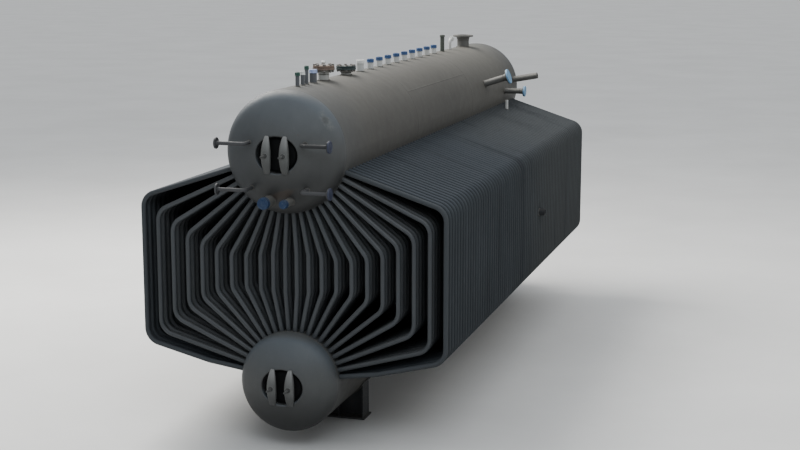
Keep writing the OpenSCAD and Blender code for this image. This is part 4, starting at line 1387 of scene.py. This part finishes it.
g = Geo()
yb = Y0 + (Y1 - Y0) / 2
M = Matrix.Translation((0, yb, Z2)) @ Matrix.Rotation(math.radians(180), 4, "X")
g.add(pipe(0.030, 0.025, R2 - 0.012, R2 + 0.095, 36), M)
g.make("blowdown_pipe", mat_pipe, "nozzle_paint", ["blowdown_stub"])
P = []
for j in range(56):
    t = 2 * math.pi * j / 56
    x, y = 0.0315 * math.cos(t), 0.0315 * math.sin(t)
    P.append(tuple(M @ Vector((x, y, math.sqrt(R2 * R2 - x * x) + 0.001))))
welds.add(sweep(P, ripple(P, 0.0055, seed=12), 6, closed=True))


# ------------------------------------------------------------------ saddles
def saddle(y, nodes, name):
    g = Geo()
    W, Ls, foot = 0.900, 0.260, 0.016
    T = move(y=y)
    # base plate with its anchor holes
    hx, hy, hr = 0.390, 0.085, 0.013
    v, f = [], []
    xs = [-W / 2, -hx - 0.035, -hx + 0.035, hx - 0.035, hx + 0.035, W / 2]
    ys = [-Ls / 2, -hy - 0.030, -hy + 0.030, hy - 0.030, hy + 0.030, Ls / 2]

    def vert(p):
        v.append(p)
        return len(v) - 1
    for i in range(5):
        for j in range(5):
            x0, x1, y0_, y1_ = xs[i], xs[i + 1], ys[j], ys[j + 1]
            holed = i in (1, 3) and j in (1, 3)
            if not holed:
                f.append((vert((x0, y0_, foot)), vert((x1, y0_, foot)), vert((x1, y1_, foot)), vert((x0, y1_, foot))))
                f.append((vert((x0, y1_, 0)), vert((x1, y1_, 0)), vert((x1, y0_, 0)), vert((x0, y0_, 0))))
                continue
            cx, cy = (x0 + x1) / 2, (y0_ + y1_) / 2
            m = 32
            rim = []
            for k in range(m):
                t = 2 * math.pi * k / m - math.pi * 0.75
                rim.append((cx + hr * math.cos(t), cy + hr * math.sin(t)))
            corner = [(x0, y0_), (x1, y0_), (x1, y1_), (x0, y1_)]
            for k in range(4):
                side = [corner[k], corner[(k + 1) % 4]] + [rim[(k * m // 4 + n) % m] for n in range(m // 4, -1, -1)]
                f.append(tuple(vert((*p, foot)) for p in side))
                f.append(tuple(vert((*p, 0)) for p in reversed(side)))
            for k in range(m):
                ha, hb_ = rim[k], rim[(k + 1) % m]
                f.append((vert((*ha, foot)), vert((*hb_, foot)), vert((*hb_, 0)), vert((*ha, 0))))
    for j in range(5):
        f.append((vert((-W / 2, ys[j + 1], 0)), vert((-W / 2, ys[j], 0)), vert((-W / 2, ys[j], foot)), vert((-W / 2, ys[j + 1], foot))))
        f.append((vert((W / 2, ys[j], 0)), vert((W / 2, ys[j + 1], 0)), vert((W / 2, ys[j + 1], foot)), vert((W / 2, ys[j], foot))))
    for i in range(5):
        f.append((vert((xs[i], -Ls / 2, 0)), vert((xs[i + 1], -Ls / 2, 0)), vert((xs[i + 1], -Ls / 2, foot)), vert((xs[i], -Ls / 2, foot))))
        f.append((vert((xs[i + 1], Ls / 2, 0)), vert((xs[i], Ls / 2, 0)), vert((xs[i], Ls / 2, foot)), vert((xs[i + 1], Ls / 2, foot))))
    g.add(weld_points(v, f), T)
    ro = R2 + 0.0125
    # web across, its top cut to the pad
    top_z = Z2 - (R2 + 0.012) / 2
    half = W / 2 - 0.020
    pts = [(-half, foot - 0.001), (half, foot - 0.001)]
    a1 = math.asin(max(-1, min(1, (top_z - Z2) / ro)))
    xr = ro * math.cos(a1)
    pts.append((half, min(0.435, Z2 - math.sqrt(max(ro * ro - half * half, 0)) if half < ro else top_z)))
    m = 24
    hi = half if half < xr else xr
    for i in range(1, m):
        x = hi - 2 * hi * i / m
        pts.append((x, Z2 - math.sqrt(ro * ro - x * x)))
    pts.append((-half, pts[2][1]))
    Rx = Matrix.Rotation(math.radians(90), 4, "X")
    g.add(prism(pts, 0.020, 0.0015), T @ move(y=0.010) @ Rx)
    for x in (-W / 2 + 0.027, -0.150, 0.150, W / 2 - 0.027):
        zt_ = Z2 - math.sqrt(ro * ro - x * x)
        zt_ = min(zt_, 0.435)
        za, zb = Z2 - math.sqrt(ro * ro - (abs(x) - 0.007) ** 2), Z2 - math.sqrt(ro * ro - (abs(x) + 0.007) ** 2)
        za, zb = min(za, 0.435), min(zb, 0.435)
        lo, hi_ = (za, zb) if x > 0 else (zb, za)
        sec = [(x - 0.007, foot - 0.001), (x + 0.007, foot - 0.001), (x + 0.007, hi_), (x - 0.007, lo)]
        for ya, ybb in ((-Ls / 2 + 0.025, -0.0098), (0.0098, Ls / 2 - 0.025)):
            g.add(prism(sec, ybb - ya, 0.0015), T @ move(y=ybb) @ Rx)
    # curved pad under the drum
    sec, m = [], 40
    prof = [(R2 + 0.0003, -Ls / 2), (R2 + 0.0105, -Ls / 2), (R2 + 0.012, -Ls / 2 + 0.0015), (R2 + 0.012, Ls / 2 - 0.0015), (R2 + 0.0105, Ls / 2), (R2 + 0.0003, Ls / 2)]
    v, f = [], []
    for i in range(m + 1):
        a = math.radians(211 + 118 * i / m)
        for r, yy in prof:
            v.append((r * math.cos(a), yy, Z2 + r * math.sin(a)))
    k = len(prof)
    for i in range(m):
        for j in range(k):
            f.append((i * k + j, i * k + (j + 1) % k, (i + 1) * k + (j + 1) % k, (i + 1) * k + j))
    f.append(tuple(reversed(range(k))))
    f.append(tuple(range(m * k, (m + 1) * k)))
    g.add(fix_outward((v, f)), T)
    ob = g.make(name, mat_saddle, "saddle_paint", nodes, sharp=30)
    # fillet welds along the pad's edges and the foot of the web
    for yy in (-Ls / 2, Ls / 2):
        P = []
        for i in range(121):
            a = math.radians(211 + 118 * i / 120)
            P.append(((R2 + 0.004) * math.cos(a), y + yy, Z2 + (R2 + 0.004) * math.sin(a)))
        welds.add(sweep(P, [0.0058 * (1 + (0.14 if i % 2 else -0.14)) for i in range(121)], 6))
    for yy in (-0.010, 0.010):
        P = [(-half + 2 * half * i / 120, y + yy, foot) for i in range(121)]
        welds.add(sweep(P, [0.0055 * (1 + (0.14 if i % 2 else -0.14)) for i in range(121)], 6))
        P = [(-hi * 0.99 + 2 * hi * 0.99 * i / 120, y + yy, Z2 - math.sqrt(ro * ro - (-hi * 0.99 + 2 * hi * 0.99 * i / 120) ** 2)) for i in range(121)]
        welds.add(sweep(P, [0.0050 * (1 + (0.14 if i % 2 else -0.14)) for i in range(121)], 6))
    return ob


saddle(Y0 + 1.100, ["front_saddle"], "front_saddle_plates")
saddle(Y1 - 1.100, ["rear_saddle"], "rear_saddle_plates")

welds.make("nozzle_and_saddle_welds", mat_weld, "nozzle_paint", sharp=60)
bolting.make("flange_bolts", mat_bolt, "yoke_steel")

# ------------------------------------------------------------------ floor and light
m, nt, bs = tree("studio_floor")
s = Nt(nt)
col = s.mix(s.map(s.noise(0.35, 5, 0.6), 0.3, 0.7), (0.60, 0.598, 0.59), (0.66, 0.658, 0.65))
s.link(col, bs.inputs["Base Color"])
s.link(s.map(s.noise(1.5, 4, 0.6), 0.2, 0.8, 0.55, 0.75), bs.inputs["Roughness"])
bs.inputs["Specular IOR Level"].default_value = 0.25
me = bpy.data.meshes.new("floor")
me.from_pydata([(-600, -600, 0), (600, -600, 0), (600, 600, 0), (-600, 600, 0)], [], [(0, 1, 2, 3)])
me.materials.append(m)
floor = bpy.data.objects.new("floor", me)
bpy.context.scene.collection.objects.link(floor)


def area(name, pos, aim, size, power, colour=(1, 1, 1), size_y=None):
    d = bpy.data.lights.new(name, "AREA")
    d.energy = power
    d.color = colour
    d.size = size
    if size_y:
        d.shape = "RECTANGLE"
        d.size_y = size_y
    o = bpy.data.objects.new(name, d)
    o.location = pos
    o.rotation_euler = (Vector(aim) - Vector(pos)).to_track_quat("-Z", "Y").to_euler()
    bpy.context.scene.collection.objects.link(o)
    return o


area("key", (-6.5, 2.6, 11.6), (0, 0.3, 2.4), 6.0, 2080, (1.0, 0.975, 0.93), 10.0)
area("front_fill", (4.8, -13.5, 10.0), (0, -3, 2.4), 8.0, 370, (0.88, 0.94, 1.0), 5.0)
area("side_fill", (12.0, 0.0, 11.0), (0, -0.3, 1.8), 10.0, 330, (1.0, 0.975, 0.94), 8.0)

world = bpy.data.worlds.new("studio")
world.use_nodes = True
wt = world.node_tree
bg = wt.nodes.get("Background")
tc = wt.nodes.new("ShaderNodeTexCoord")
sep = wt.nodes.new("ShaderNodeSeparateXYZ")
ramp = wt.nodes.new("ShaderNodeMapRange")
ramp.inputs[1].default_value, ramp.inputs[2].default_value = -0.05, 0.9
ramp.inputs[3].default_value, ramp.inputs[4].default_value = 0.20, 1.05
wt.links.new(tc.outputs["Generated"], sep.inputs[0])
wt.links.new(sep.outputs[2], ramp.inputs[0])
wt.links.new(ramp.outputs[0], bg.inputs["Strength"])
bg.inputs["Color"].default_value = (0.90, 0.925, 0.95, 1)
bpy.context.scene.world = world

sc = bpy.context.scene
sc.view_settings.view_transform = "AgX"
sc.view_settings.look = "AgX - Medium High Contrast"
sc.view_settings.exposure = 0.0
sc.cycles.use_denoising = True
